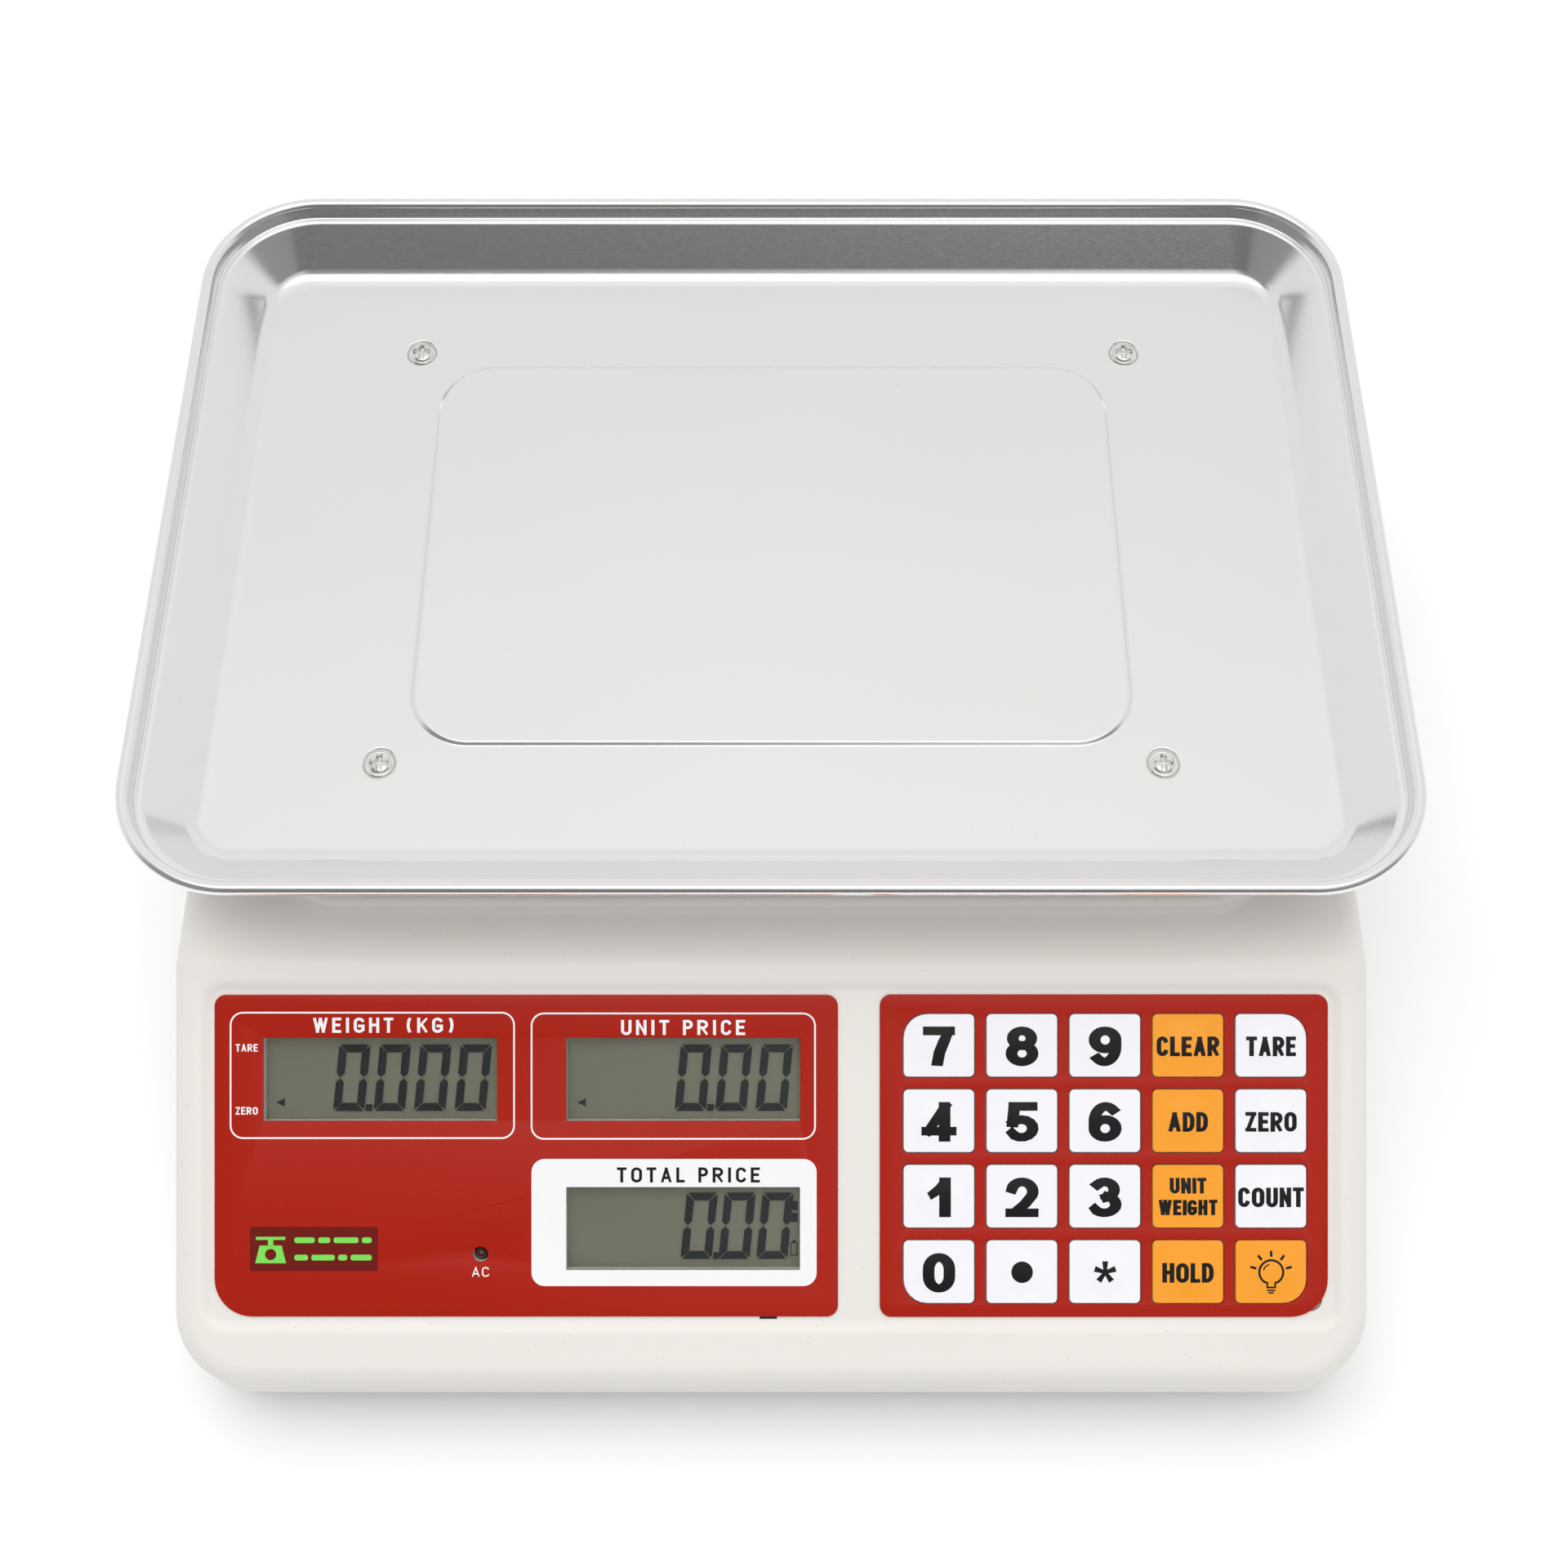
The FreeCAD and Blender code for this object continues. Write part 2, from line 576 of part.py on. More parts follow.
def lower_housing():
    """Base tray with the lip that locates the top shell."""
    width = BODY_X - 2 * BASE_INSET
    depth = REAR - FRONT - 2 * BASE_INSET
    middle = (0, (FRONT + REAR) / 2)
    corner = HOUSING_CORNER - BASE_INSET
    lip_x = BODY_X - 2 * WALL - 2 * LOOSE
    lip_y = REAR - FRONT - 2 * WALL - 2 * LOOSE
    lip_corner = HOUSING_CORNER - WALL - LOOSE
    outer = slab(width, depth, corner, FOOT_H, BASE_TOP, middle)
    lip = slab(lip_x, lip_y, lip_corner, FOOT_H, BASE_TOP + LIP_H, middle)
    room = slab(
        lip_x - 2 * LIP_T, lip_y - 2 * LIP_T, lip_corner - LIP_T, FLOOR_IN,
        BASE_TOP + LIP_H + 1, middle,
    )
    tray = outer.fuse(lip).cut(room)
    added = [post(FOOT_BOSS_R, FLOOR_IN - 1, FOOT_BOSS_TOP, at) for at in FEET.values()]
    stop_low = SPIDER_LOW - STOP_GAP - STOP_HEAD_H - STOP_SHOWS
    added += [post(STOP_POST_R, FLOOR_IN - 1, stop_low, at) for at in STOPS]
    door_x, door_y = door_size()
    at = battery_middle()
    rail_low = FOOT_H - 2 * LOOSE - DOOR_T - RAIL_T
    for side in (-1, 1):
        upright_x = at[0] + side * (door_x / 2 + LOOSE + RAIL_T / 2)
        lip_at = at[0] + side * (door_x / 2 + LOOSE + RAIL_T / 2 - DOOR_LAP / 2)
        added.append(block(RAIL_T, door_y, rail_low, FOOT_H + 1, (upright_x, at[1])))
        added.append(block(RAIL_T + DOOR_LAP, door_y, rail_low, rail_low + RAIL_T, (lip_at, at[1])))
    tray = tray.fuse(added)
    cuts = [block(BATTERY[0] + 2 * BATTERY_GAP, BATTERY[1] + 2 * BATTERY_GAP, 0, FLOOR_IN + 1, at)]
    for foot in FEET.values():
        cuts.append(post(FOOT_STUD_R + RUNNING, 0, FOOT_BOSS_TOP + 1, foot))
    for hole in POSTS:
        cuts.append(post(HOUSING_SCREW_R + SCREW_GAP, 0, FLOOR_IN + 1, hole))
        seat_top = FOOT_H + HOUSING_SCREW_HEAD_H - 0.7
        cuts.append(post(HOUSING_SCREW_HEAD_R + LOOSE, 0, seat_top, hole))
        cuts.append(post(POST_R + LOOSE, FLOOR_IN, BASE_TOP + LIP_H + 1, hole))
    for stop in STOPS:
        cuts.append(post(STOP_R + SCREW_GAP, FLOOR_IN + WALL, stop_low + 1, stop))
    for bolt in lower_bolts():
        cuts.append(post(CELL_BOLT_R + SCREW_GAP, 0, FLOOR_IN + 1, bolt))
    tray = tray.cut(cuts).removeSplitter()
    save("lower_housing", tray)


def lower_bolts():
    """Middles of the two screws that hold the cell to the base."""
    end = CELL_X / 2 - CELL_BOLT_END
    return [(-end, PAN_MID), (-end + CELL_BOLT_PITCH, PAN_MID)]


def upper_bolts():
    """Middles of the two screws that hold the bracket to the cell."""
    return [(-x, y) for x, y in lower_bolts()]


def housing_screws():
    """Six self-tapping screws from below."""
    screws = []
    low = FOOT_H - 0.7
    for at in POSTS:
        head = post(HOUSING_SCREW_HEAD_R, low, low + HOUSING_SCREW_HEAD_H, at)
        shank = post(HOUSING_SCREW_R, low, low + HOUSING_SCREW_LENGTH, at)
        recess_x = block(3.4, 0.8, low - 1, low + 1.2, at)
        recess_y = block(0.8, 3.4, low - 1, low + 1.2, at)
        screws.append(joined([head, shank]).cut([recess_x, recess_y]))
    save("housing_screws", group(screws))


# ---------------------------------------------------------------- panel pieces
def display_overlay():
    """Printed film over the three displays, with its windows and lamp hole."""
    small, big = OVERLAY_CORNER, OVERLAY_BIG_CORNER
    radii = (small, small, small, big)
    film = slab(DISPLAY_X, DISPLAY_Y, radii, 0, OVERLAY_T, (DISPLAY_MID, 0))
    cuts = [window_cut(middle, -1, 1) for middle in WINDOWS.values()]
    cuts.append(post(LED_HOLE_R, -1, 1, (DISPLAY_MID + LED_AT[0], LED_AT[1])))
    tab_low, tab_high = tab_span()
    tab_at = (DISPLAY_MID + TAB_AT, (tab_low + tab_high) / 2)
    cuts.append(block(TAB_X, tab_high - tab_low, -1, TAB_T, tab_at))
    save("display_overlay", on_panel(film.cut(cuts)))


def tab_span():
    """Lower and upper edge of the pull tab, on the panel."""
    low = -DISPLAY_Y / 2 - TAB_SHOWS
    return low, low + TAB_Y


def overlay_tab():
    """Black tape tab that shows below the display overlay."""
    low, high = tab_span()
    at = (DISPLAY_MID + TAB_AT, (low + high) / 2)
    save("overlay_tab", on_panel(block(TAB_X, high - low, 0, TAB_T, at)))


def keypad_overlay():
    """Printed film around the keys."""
    small, big = OVERLAY_CORNER, OVERLAY_BIG_CORNER
    film = slab(KEYPAD_X, KEYPAD_Y, (big, small, small, small), 0, OVERLAY_T, (KEYPAD_MID, 0))
    cuts = []
    for _, middle, radii in key_places():
        wide = [radius + FILM_GAP for radius in radii]
        cuts.append(slab(KEY_X + 2 * FILM_GAP, KEY_Y + 2 * FILM_GAP, wide, -1, 1, middle))
    save("keypad_overlay", on_panel(film.cut(cuts)))


def keypad_circuit():
    """Printed switch sheet in its pocket under the keys."""
    room = 2 * (OVERLAY_SEAT + LOOSE)
    sheet = slab(
        KEYPAD_X - room, KEYPAD_Y - room, OVERLAY_CORNER, CIRCUIT_LOW,
        CIRCUIT_LOW + CIRCUIT_T, (KEYPAD_MID, 0),
    )
    save("keypad_circuit", on_panel(sheet))


def keys():
    """One rigid cap for each embossed key of the keypad."""
    edge = KEY_PROUD * 0.6
    for name, middle, radii in key_places():
        high = KEY_LOW + KEY_HEIGHT
        cap = slab(KEY_X, KEY_Y, radii, KEY_LOW, high, middle)
        save("key_" + name, on_panel(rounded_top(cap, edge, high)))


def displays():
    """Three liquid-crystal modules below their windows."""
    for name, middle in WINDOWS.items():
        at = (DISPLAY_MID + middle[0], middle[1])
        size = (WINDOW_X + 2 * LCD_RIM, WINDOW_Y + 2 * LCD_RIM)
        save("lcd_" + name, on_panel(block(size[0], size[1], BOARD_TOP, LCD_TOP, at)))


def display_board():
    """Main circuit board behind the displays, with its chips."""
    low = BOARD_TOP - BOARD_T
    board = slab(DISPLAY_BOARD[0], DISPLAY_BOARD[1], 2.0, low, BOARD_TOP, (DISPLAY_MID, 0))
    holes = [post(BOARD_PIN_R + SCREW_GAP, low - 1, BOARD_TOP + 1, at) for at in board_posts()]
    board = board.cut(holes)
    chips = [
        block(14.0, 14.0, low - 1.8, low, (DISPLAY_MID - 20.0, 8.0)),
        block(10.0, 6.0, low - 1.8, low, (DISPLAY_MID + 12.0, -14.0)),
        block(24.0, 5.0, low - 6.0, low, (DISPLAY_MID + 40.0, 26.0)),
        block(18.0, 5.0, low - 6.0, low, (DISPLAY_MID - 46.0, -26.0)),
    ]
    save("display_board", on_panel(joined([board] + chips)))


def power_led():
    """Lamp that stands on the display board and shows through the overlay."""
    at = (DISPLAY_MID + LED_AT[0], LED_AT[1])
    stem = post(LED_R, BOARD_TOP, -LED_R, at)
    dome = Part.makeSphere(LED_R, vec(at[0], at[1], -LED_R))
    flange = post(LED_R + 0.4, BOARD_TOP, BOARD_TOP + 1.0, at)
    save("power_led", on_panel(joined([stem, dome, flange])))


# ---------------------------------------------------------------- pan
def pan_body(grow, low):
    """Cup of the pan: sheet's inner form, or its outer form when grown by the sheet."""
    inset = 2 * (PAN_BEAD / 2 + PAN_LEDGE)
    high = PAN_LEDGE_TOP
    high_size = (PAN_X - inset + 2 * grow, PAN_Y - inset + 2 * grow)
    run = 2 * (PAN_BEAD / 2 + PAN_LEDGE + PAN_WALL_RUN)
    low_size = (PAN_X - run + 2 * grow, PAN_Y - run + 2 * grow)
    high_corner = PAN_CORNER - inset / 2 + grow
    cup = tapered(
        low_size, PAN_FLOOR_CORNER + grow, low, high_size, high_corner, high, (0, PAN_MID),
    )
    return rounded_top(cup, PAN_FOLD + grow, low)


def weighing_pan():
    """Pressed steel tray with a rolled rim, an embossed floor and screw dimples."""
    middle = (0, PAN_MID)
    inner = pan_body(0, PAN_FLOOR)
    outer = pan_body(PAN_SHEET, PAN_FLOOR - PAN_SHEET)
    bead_mid = PAN_BEAD / 2
    upright = PAN_BEAD - PAN_SHEET
    brim = slab(
        PAN_X - 2 * upright, PAN_Y - 2 * upright, PAN_CORNER - upright,
        PAN_LEDGE_TOP - PAN_SHEET, PAN_TOP - bead_mid, middle,
    )
    well = slab(
        PAN_X - 2 * PAN_BEAD, PAN_Y - 2 * PAN_BEAD, PAN_CORNER - PAN_BEAD,
        PAN_LEDGE_TOP, PAN_TOP + 1, middle,
    )
    path = outline(
        PAN_X - PAN_BEAD, PAN_Y - PAN_BEAD, PAN_CORNER - bead_mid, middle,
        PAN_TOP - bead_mid,
    )
    start = path.Edges[0].valueAt(path.Edges[0].FirstParameter)
    along = path.Edges[0].tangentAt(path.Edges[0].FirstParameter)
    section = Part.Wire(Part.makeCircle(bead_mid, start, along))
    bead = path.makePipeShell([section], True, False)
    emboss_high = PAN_FLOOR + EMBOSS_RISE
    wide = (EMBOSS_X, EMBOSS_Y)
    tight = (EMBOSS_X - 2 * EMBOSS_SLOPE, EMBOSS_Y - 2 * EMBOSS_SLOPE)
    corner = EMBOSS_CORNER
    raised = tapered(
        wide, corner, PAN_FLOOR, tight, corner - EMBOSS_SLOPE, emboss_high, middle,
    )
    hollow = tapered(
        wide, corner, PAN_FLOOR - PAN_SHEET, tight, corner - EMBOSS_SLOPE,
        emboss_high - PAN_SHEET, middle,
    )
    tray = outer.fuse([brim.cut(well), bead]).cut(inner).fuse(raised)
    cuts = [hollow]
    bumps = []
    for at in SUPPORTS:
        high = PAN_FLOOR
        seat = high - DIMPLE_DEPTH
        corner_at = vec(at[0], at[1], seat)
        cuts.append(Part.makeCone(DIMPLE_FLAT_R, DIMPLE_R, DIMPLE_DEPTH, corner_at))
        cuts.append(post(PAN_SCREW_R + SCREW_GAP, seat - 2, high, at))
        below = vec(at[0], at[1], seat - PAN_SHEET)
        bumps.append(Part.makeCone(
            DIMPLE_FLAT_R + PAN_SHEET, DIMPLE_R + PAN_SHEET, DIMPLE_DEPTH, below,
        ))
    tray = tray.fuse(bumps).cut(cuts).removeSplitter()
    save("weighing_pan", tray)


def pan_screws():
    """Four cross-recess screws that fasten the pan to its legs."""
    screws = []
    low = PAN_FLOOR - DIMPLE_DEPTH
    for at in SUPPORTS:
        head = post(PAN_SCREW_HEAD_R, low, low + PAN_SCREW_HEAD_H, at)
        head = rounded_top(head, PAN_SCREW_HEAD_H * 0.6, low + PAN_SCREW_HEAD_H)
        shank = post(PAN_SCREW_R, low - PAN_SCREW_LENGTH, low + 0.5, at)
        top = low + PAN_SCREW_HEAD_H
        recess = [
            block(3.6, 0.8, top - 1.2, top + 1, at),
            block(0.8, 3.6, top - 1.2, top + 1, at),
        ]
        screws.append(joined([head, shank]).cut(recess))
    save("pan_screws", group(screws))


def pan_legs():
    """Four moulded legs that drop over the bracket's pins."""
    legs = []
    for at in SUPPORTS:
        leg = post(LEG_R, SPIDER_HIGH, LEG_TOP, at)
        low_hole = post(LEG_PIN_R + LOOSE, SPIDER_HIGH - 1, SPIDER_HIGH + LEG_PIN_H + 1, at)
        high_hole = post(
            PAN_SCREW_R + SCREW_GAP, LEG_TOP + PAN_SHEET - PAN_SCREW_LENGTH - 1, LEG_TOP + 1, at,
        )
        legs.append(leg.cut([low_hole, high_hole]))
    save("pan_legs", group(legs))


# ---------------------------------------------------------------- weighing parts
def spider():
    """Cast cross bracket that carries the pan's legs on the free end of the cell."""
    shapes = [block(CELL_X + 10, CELL_Y + 16, SPIDER_LOW, SPIDER_HIGH, (0, PAN_MID))]
    for x, y in SUPPORTS:
        reach = math.hypot(x, y - PAN_MID)
        turn = math.degrees(math.atan2(y - PAN_MID, x))
        arm = Part.makeBox(reach, SPIDER_ARM, SPIDER_T, vec(0, -SPIDER_ARM / 2, SPIDER_LOW))
        rib = Part.makeBox(
            reach - CELL_X / 2, SPIDER_RIB_T, SPIDER_RIB_H,
            vec(CELL_X / 2, -SPIDER_RIB_T / 2, SPIDER_HIGH),
        )
        rib = rib.cut(post(LEG_R + LOOSE, SPIDER_HIGH, PAN_FLOOR, (reach, 0)))
        for piece in (arm, rib):
            piece.rotate(vec(0, 0, 0), vec(0, 0, 1), turn)
            piece.translate(vec(0, PAN_MID, 0))
            shapes.append(piece)
        shapes.append(post(SPIDER_PAD_R, SPIDER_LOW, SPIDER_HIGH, (x, y)))
        shapes.append(post(LEG_PIN_R, SPIDER_LOW, SPIDER_HIGH + LEG_PIN_H, (x, y)))
    boss_x = CELL_BOLT_PITCH + 2 * CELL_BOLT_END
    boss_at = (CELL_X / 2 - boss_x / 2, PAN_MID)
    shapes.append(block(boss_x, CELL_Y, CELL_HIGH, SPIDER_LOW, boss_at))
    body = joined(shapes)
    holes = [post(CELL_BOLT_R + SCREW_GAP, CELL_HIGH - 1, SPIDER_HIGH + 1, at) for at in upper_bolts()]
    save("spider", body.cut(holes))


def load_cell():
    """Single-point aluminium beam with its gauge cut-out."""
    beam = block(CELL_X, CELL_Y, CELL_LOW, CELL_HIGH, (0, PAN_MID))
    middle = (CELL_LOW + CELL_HIGH) / 2
    cuts = []
    for side in (-1, 1):
        start = vec(side * CELL_GAUGE_IN, PAN_MID - CELL_Y, middle)
        cuts.append(Part.makeCylinder(CELL_GAUGE_R, 2 * CELL_Y, start, vec(0, 1, 0)))
    slot = CELL_GAUGE_R
    cuts.append(block(2 * CELL_GAUGE_IN, 2 * CELL_Y, middle - slot / 2, middle + slot / 2, (0, PAN_MID)))
    deep = CELL_BOLT_DEPTH + 2
    for at in lower_bolts():
        cuts.append(post(CELL_BOLT_R + SCREW_GAP, CELL_LOW - 1, CELL_LOW + deep, at))
    for at in upper_bolts():
        cuts.append(post(CELL_BOLT_R + SCREW_GAP, CELL_HIGH - deep, CELL_HIGH + 1, at))
    save("load_cell", beam.cut(cuts))


def cell_bolts():
    """Cap screws at each end of the cell."""
    lower = []
    for at in lower_bolts():
        low = FOOT_H - CELL_BOLT_HEAD_H
        head = post(CELL_BOLT_HEAD_R, low, FOOT_H, at)
        shank = post(CELL_BOLT_R, FOOT_H - 1, CELL_LOW + CELL_BOLT_DEPTH, at)
        socket = post(CELL_BOLT_R * 0.8, low - 1, low + 2.2, at)
        lower.append(joined([head, shank]).cut(socket))
    save("cell_bolts_lower", group(lower))
    upper = []
    for at in upper_bolts():
        high = SPIDER_HIGH + CELL_BOLT_HEAD_H
        head = post(CELL_BOLT_HEAD_R, SPIDER_HIGH, high, at)
        shank = post(CELL_BOLT_R, CELL_HIGH - CELL_BOLT_DEPTH, SPIDER_HIGH + 1, at)
        socket = post(CELL_BOLT_R * 0.8, high - 2.2, high + 1, at)
        upper.append(joined([head, shank]).cut(socket))
    save("cell_bolts_upper", group(upper))


def base_plate():
    """Steel plate on the tray's floor, with the raised seat of the cell."""
    plate = block(CELL_X + 30, CELL_Y + 40, FLOOR_IN, FLOOR_IN + PLATE_T, (0, PAN_MID))
    seat_x = CELL_BOLT_PITCH + 2 * CELL_BOLT_END
    seat_at = (-CELL_X / 2 + seat_x / 2, PAN_MID)
    seat = block(seat_x, CELL_Y, FLOOR_IN, CELL_LOW, seat_at)
    holes = [post(CELL_BOLT_R + SCREW_GAP, 0, CELL_LOW + 1, at) for at in lower_bolts()]
    holes += [post(STOP_POST_R + LOOSE, 0, FLOOR_IN + PLATE_T + 1, at) for at in STOPS]
    save("base_plate", joined([plate, seat]).cut(holes))


def overload_stops():
    """Four screws that catch the bracket before the cell is overloaded."""
    stops = []
    head_low = SPIDER_LOW - STOP_GAP - STOP_HEAD_H
    for at in STOPS:
        head = post(STOP_HEAD_R, head_low, SPIDER_LOW - STOP_GAP, at)
        shank = post(STOP_R, FLOOR_IN + WALL + 2, head_low + 1, at)
        stops.append(joined([head, shank]))
    save("overload_stops", group(stops))


# ---------------------------------------------------------------- electrics
def battery():
    """Sealed battery above its door, with two terminals."""
    low = FOOT_H + LOOSE
    at = battery_middle()
    case = slab(BATTERY[0], BATTERY[1], 2.0, low, low + BATTERY[2] - 3, at)
    lid = slab(BATTERY[0] - 3, BATTERY[1] - 3, 2.0, low + BATTERY[2] - 4, low + BATTERY[2], at)
    tabs = [
        block(0.8, 6.0, low + BATTERY[2] - 1, low + BATTERY[2] + 6, (at[0] + side * 36.0, at[1]))
        for side in (-1, 1)
    ]
    save("battery", joined([case, lid] + tabs))


def battery_door():
    """Sliding cover under the battery, held in two rails."""
    width, depth = door_size()
    high = FOOT_H - LOOSE
    at = battery_middle()
    plate = block(width, depth, high - DOOR_T, high, at)
    grips = [
        block(24.0, 1.2, high - DOOR_T - 0.6, high - DOOR_T, (at[0], at[1] + depth / 2 - 6 - 3 * turn))
        for turn in range(4)
    ]
    save("battery_door", joined([plate] + grips))


def transformer():
    """Laminated mains transformer with its winding."""
    at = (SIDE - 80.0, RIDGE + 6.0)
    low = FLOOR_IN
    core = block(TRANSFORMER[0], TRANSFORMER[1] - 16, low, low + TRANSFORMER[2], at)
    coil = slab(TRANSFORMER[0] - 18, TRANSFORMER[1], 4.0, low + 7, low + TRANSFORMER[2] - 7, at)
    foot = block(TRANSFORMER[0] + 16, 12.0, low, low + 1.5, at)
    save("transformer", joined([core, coil, foot]))


def power_board():
    """Charging board on its four standoffs, with capacitors and a fuse."""
    at = (SIDE - 54.0, PAN_MID + 4.0)
    low = FLOOR_IN + 5.0
    high = low + BOARD_T
    shapes = [block(POWER_BOARD[0], POWER_BOARD[1], low, high, at)]
    for sx in (-1, 1):
        for sy in (-1, 1):
            corner = (at[0] + sx * (POWER_BOARD[0] / 2 - 4), at[1] + sy * (POWER_BOARD[1] / 2 - 4))
            shapes.append(post(2.5, FLOOR_IN, low, corner))
    shapes.append(post(6.5, high, high + 16, (at[0] - 14, at[1] - 8)))
    shapes.append(post(4.0, high, high + 12, (at[0] - 14, at[1] + 8)))
    shapes.append(block(20.0, 6.0, high, high + 6, (at[0] + 8, at[1] + 14)))
    shapes.append(block(16.0, 12.0, high, high + 9, (at[0] + 8, at[1] - 10)))
    save("power_board", joined(shapes))


def port_slab(size, low, high, y):
    """Rounded block along X behind or on the right wall; low and high count outward."""
    shape = slab(size[0], size[1], min(size[1] / 2 - 0.01, size[2]), low, high)
    turned = FreeCAD.Placement(
        vec(SIDE, y, SIDE_PORT_Z),
        FreeCAD.Rotation(vec(0, 1, 0), vec(0, 0, 1), vec(1, 0, 0)),
    )
    shape.Placement = turned.multiply(shape.Placement)
    return shape


def power_inlet():
    """Mains inlet in the right wall and its two contact pins."""
    y = REAR - INLET_Y_FROM_REAR
    flange = port_slab((INLET_FLANGE[0], INLET_FLANGE[1], 3.0), 0, INLET_FLANGE[2], y)
    body = port_slab((INLET_BODY[0], INLET_BODY[1], 2.0), -INLET_BODY[2], 1, y)
    mouth = INLET_FLANGE[2]
    socket = port_slab(
        (INLET_SOCKET[0], INLET_SOCKET[1], INLET_SOCKET[1]),
        mouth - INLET_SOCKET[2], mouth + 1, y,
    )
    floor_x = SIDE + mouth - INLET_SOCKET[2]
    pins = []
    for side in (-1, 1):
        start = vec(floor_x - 3, y + side * PIN_PITCH / 2, SIDE_PORT_Z)
        pins.append(Part.makeCylinder(PIN_R, PIN_LENGTH + 3, start, vec(1, 0, 0)))
    shell = joined([flange, body]).cut([socket] + pins)
    save("power_inlet", shell)
    save("inlet_pins", group(pins))


def switch_frame():
    """Frame of the power switch, with the pivot that the rocker turns on."""
    y = REAR - SWITCH_Y_FROM_REAR
    flange = port_slab((SWITCH_FLANGE[0], SWITCH_FLANGE[1], 2.0), 0, SWITCH_FLANGE[2], y)
    body = port_slab((SWITCH_BODY[0], SWITCH_BODY[1], 1.0), -SWITCH_BODY[2], 1, y)
    mouth = SWITCH_FLANGE[2]
    cavity = port_slab(
        (SWITCH_CAVITY[0], SWITCH_CAVITY[1], 0.5), mouth - SWITCH_CAVITY[2], mouth + 1, y,
    )
    shell = joined([flange, body]).cut(cavity)
    half = SWITCH_CAVITY[1] / 2 + 0.5
    pivot = Part.makeCylinder(
        ROCKER_PIN_R, 2 * half, vec(SIDE + mouth - ROCKER_PIVOT, y, SIDE_PORT_Z - half),
    )
    save("switch_frame", joined([shell, pivot]))


def switch_rocker():
    """Rocker, resting on its off side."""
    y = REAR - SWITCH_Y_FROM_REAR
    face_x = SIDE + SWITCH_FLANGE[2]
    pivot = vec(face_x - ROCKER_PIVOT, y, SIDE_PORT_Z)
    half_z = SWITCH_CAVITY[1] / 2 - LOOSE
    low = SIDE_PORT_Z - half_z
    waist = face_x - ROCKER_PIVOT - 2.6
    points = [
        vec(waist, y - 3.4, low),
        vec(face_x - 2.2, y - ROCKER_HALF, low),
        vec(face_x + ROCKER_PROUD, y - ROCKER_HALF, low),
        vec(face_x + ROCKER_PROUD * 0.2, y, low),
        vec(face_x + ROCKER_PROUD, y + ROCKER_HALF, low),
        vec(face_x - 2.2, y + ROCKER_HALF, low),
        vec(waist, y + 3.4, low),
    ]
    side_view = Part.Face(Part.makePolygon(points + points[:1]))
    rocker = side_view.extrude(vec(0, 0, 2 * half_z))
    bore = Part.makeCylinder(ROCKER_PIN_R + RUNNING, 4 * half_z, vec(pivot.x, pivot.y, low - half_z))
    rocker = rocker.cut(bore)
    rocker.rotate(pivot, vec(0, 0, 1), -ROCKER_TILT)
    save("switch_rocker", rocker)


# ---------------------------------------------------------------- customer side
def rear_overlay():
    """Printed film on the rear wall with three windows."""
    low = REAR - REAR_RECESS
    film = block(
        REAR_PANEL[0], OVERLAY_T, REAR_Z - REAR_PANEL[1] / 2, REAR_Z + REAR_PANEL[1] / 2,
        (0, low + OVERLAY_T / 2),
    )
    upright = [
        edge for edge in film.Edges
        if edge.BoundBox.YLength > OVERLAY_T / 2
    ]
    film = film.makeFillet(OVERLAY_CORNER, upright)
    save("rear_overlay", film.cut([rear_cut(WINDOW_X, WINDOW_Y, WALL, at) for at in REAR_WINDOWS]))


def rear_displays():
    """Three liquid-crystal modules and the board that carries them."""
    face = REAR - WALL - 0.1
    modules = []
    for x, z in REAR_WINDOWS:
        width = WINDOW_X + 2 * LCD_RIM
        height = WINDOW_Y + 2 * LCD_RIM
        modules.append(block(width, LCD_T, z - height / 2, z + height / 2, (x, face - LCD_T / 2)))
    save("rear_lcds", group(modules))
    back = face - LCD_T
    board = block(
        REAR_PANEL[0] - 8, BOARD_T, REAR_Z - REAR_PANEL[1] / 2 + 2, REAR_Z + REAR_PANEL[1] / 2 - 2,
        (0, back - BOARD_T / 2),
    )
    socket = block(24.0, 6.0, REAR_Z - 16, REAR_Z - 10, (40.0, back - BOARD_T - 3.0))
    save("rear_display_board", joined([board, socket]))


# ---------------------------------------------------------------- feet
def feet():
    """Four levelling feet: a threaded stud in a rubber pad."""
    for name, at in FEET.items():
        stud = post(FOOT_STUD_R, FOOT_PAD_H - 3.0, FOOT_STUD_TOP, at)
        flange = post(FOOT_FLANGE_R, FOOT_PAD_H, FOOT_PAD_H + FOOT_FLANGE_H, at)
        save("foot_stud_" + name, joined([stud, flange]))
        pad = post(FOOT_R, 0, FOOT_PAD_H, at)
        rims = [edge for edge in pad.Edges if abs(edge.BoundBox.ZLength) < 1e-6]
        pad = pad.makeFillet(1.2, rims)
        save("foot_pad_" + name, pad.cut(post(FOOT_STUD_R, FOOT_PAD_H - 3.0, FOOT_PAD_H + 1, at)))


def main():
    """Builds every node."""
    upper_housing()
    lower_housing()
    housing_screws()
    display_overlay()
    overlay_tab()
    keypad_overlay()
    keypad_circuit()
    keys()
    displays()
    display_board()
    power_led()
    weighing_pan()
    pan_screws()
    pan_legs()
    spider()
    load_cell()
    cell_bolts()
    base_plate()
    overload_stops()
    battery()
    battery_door()
    transformer()
    power_board()
    power_inlet()
    switch_frame()
    switch_rocker()
    rear_overlay()
    rear_displays()
    feet()


main()
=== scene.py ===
"""Looks of a retail price scale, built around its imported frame.

Each sub-assembly is a class that holds its sizes, builds its meshes and dresses
them.  Lengths are metres, in the frame's own axes: X right, Y back, Z up.
"""

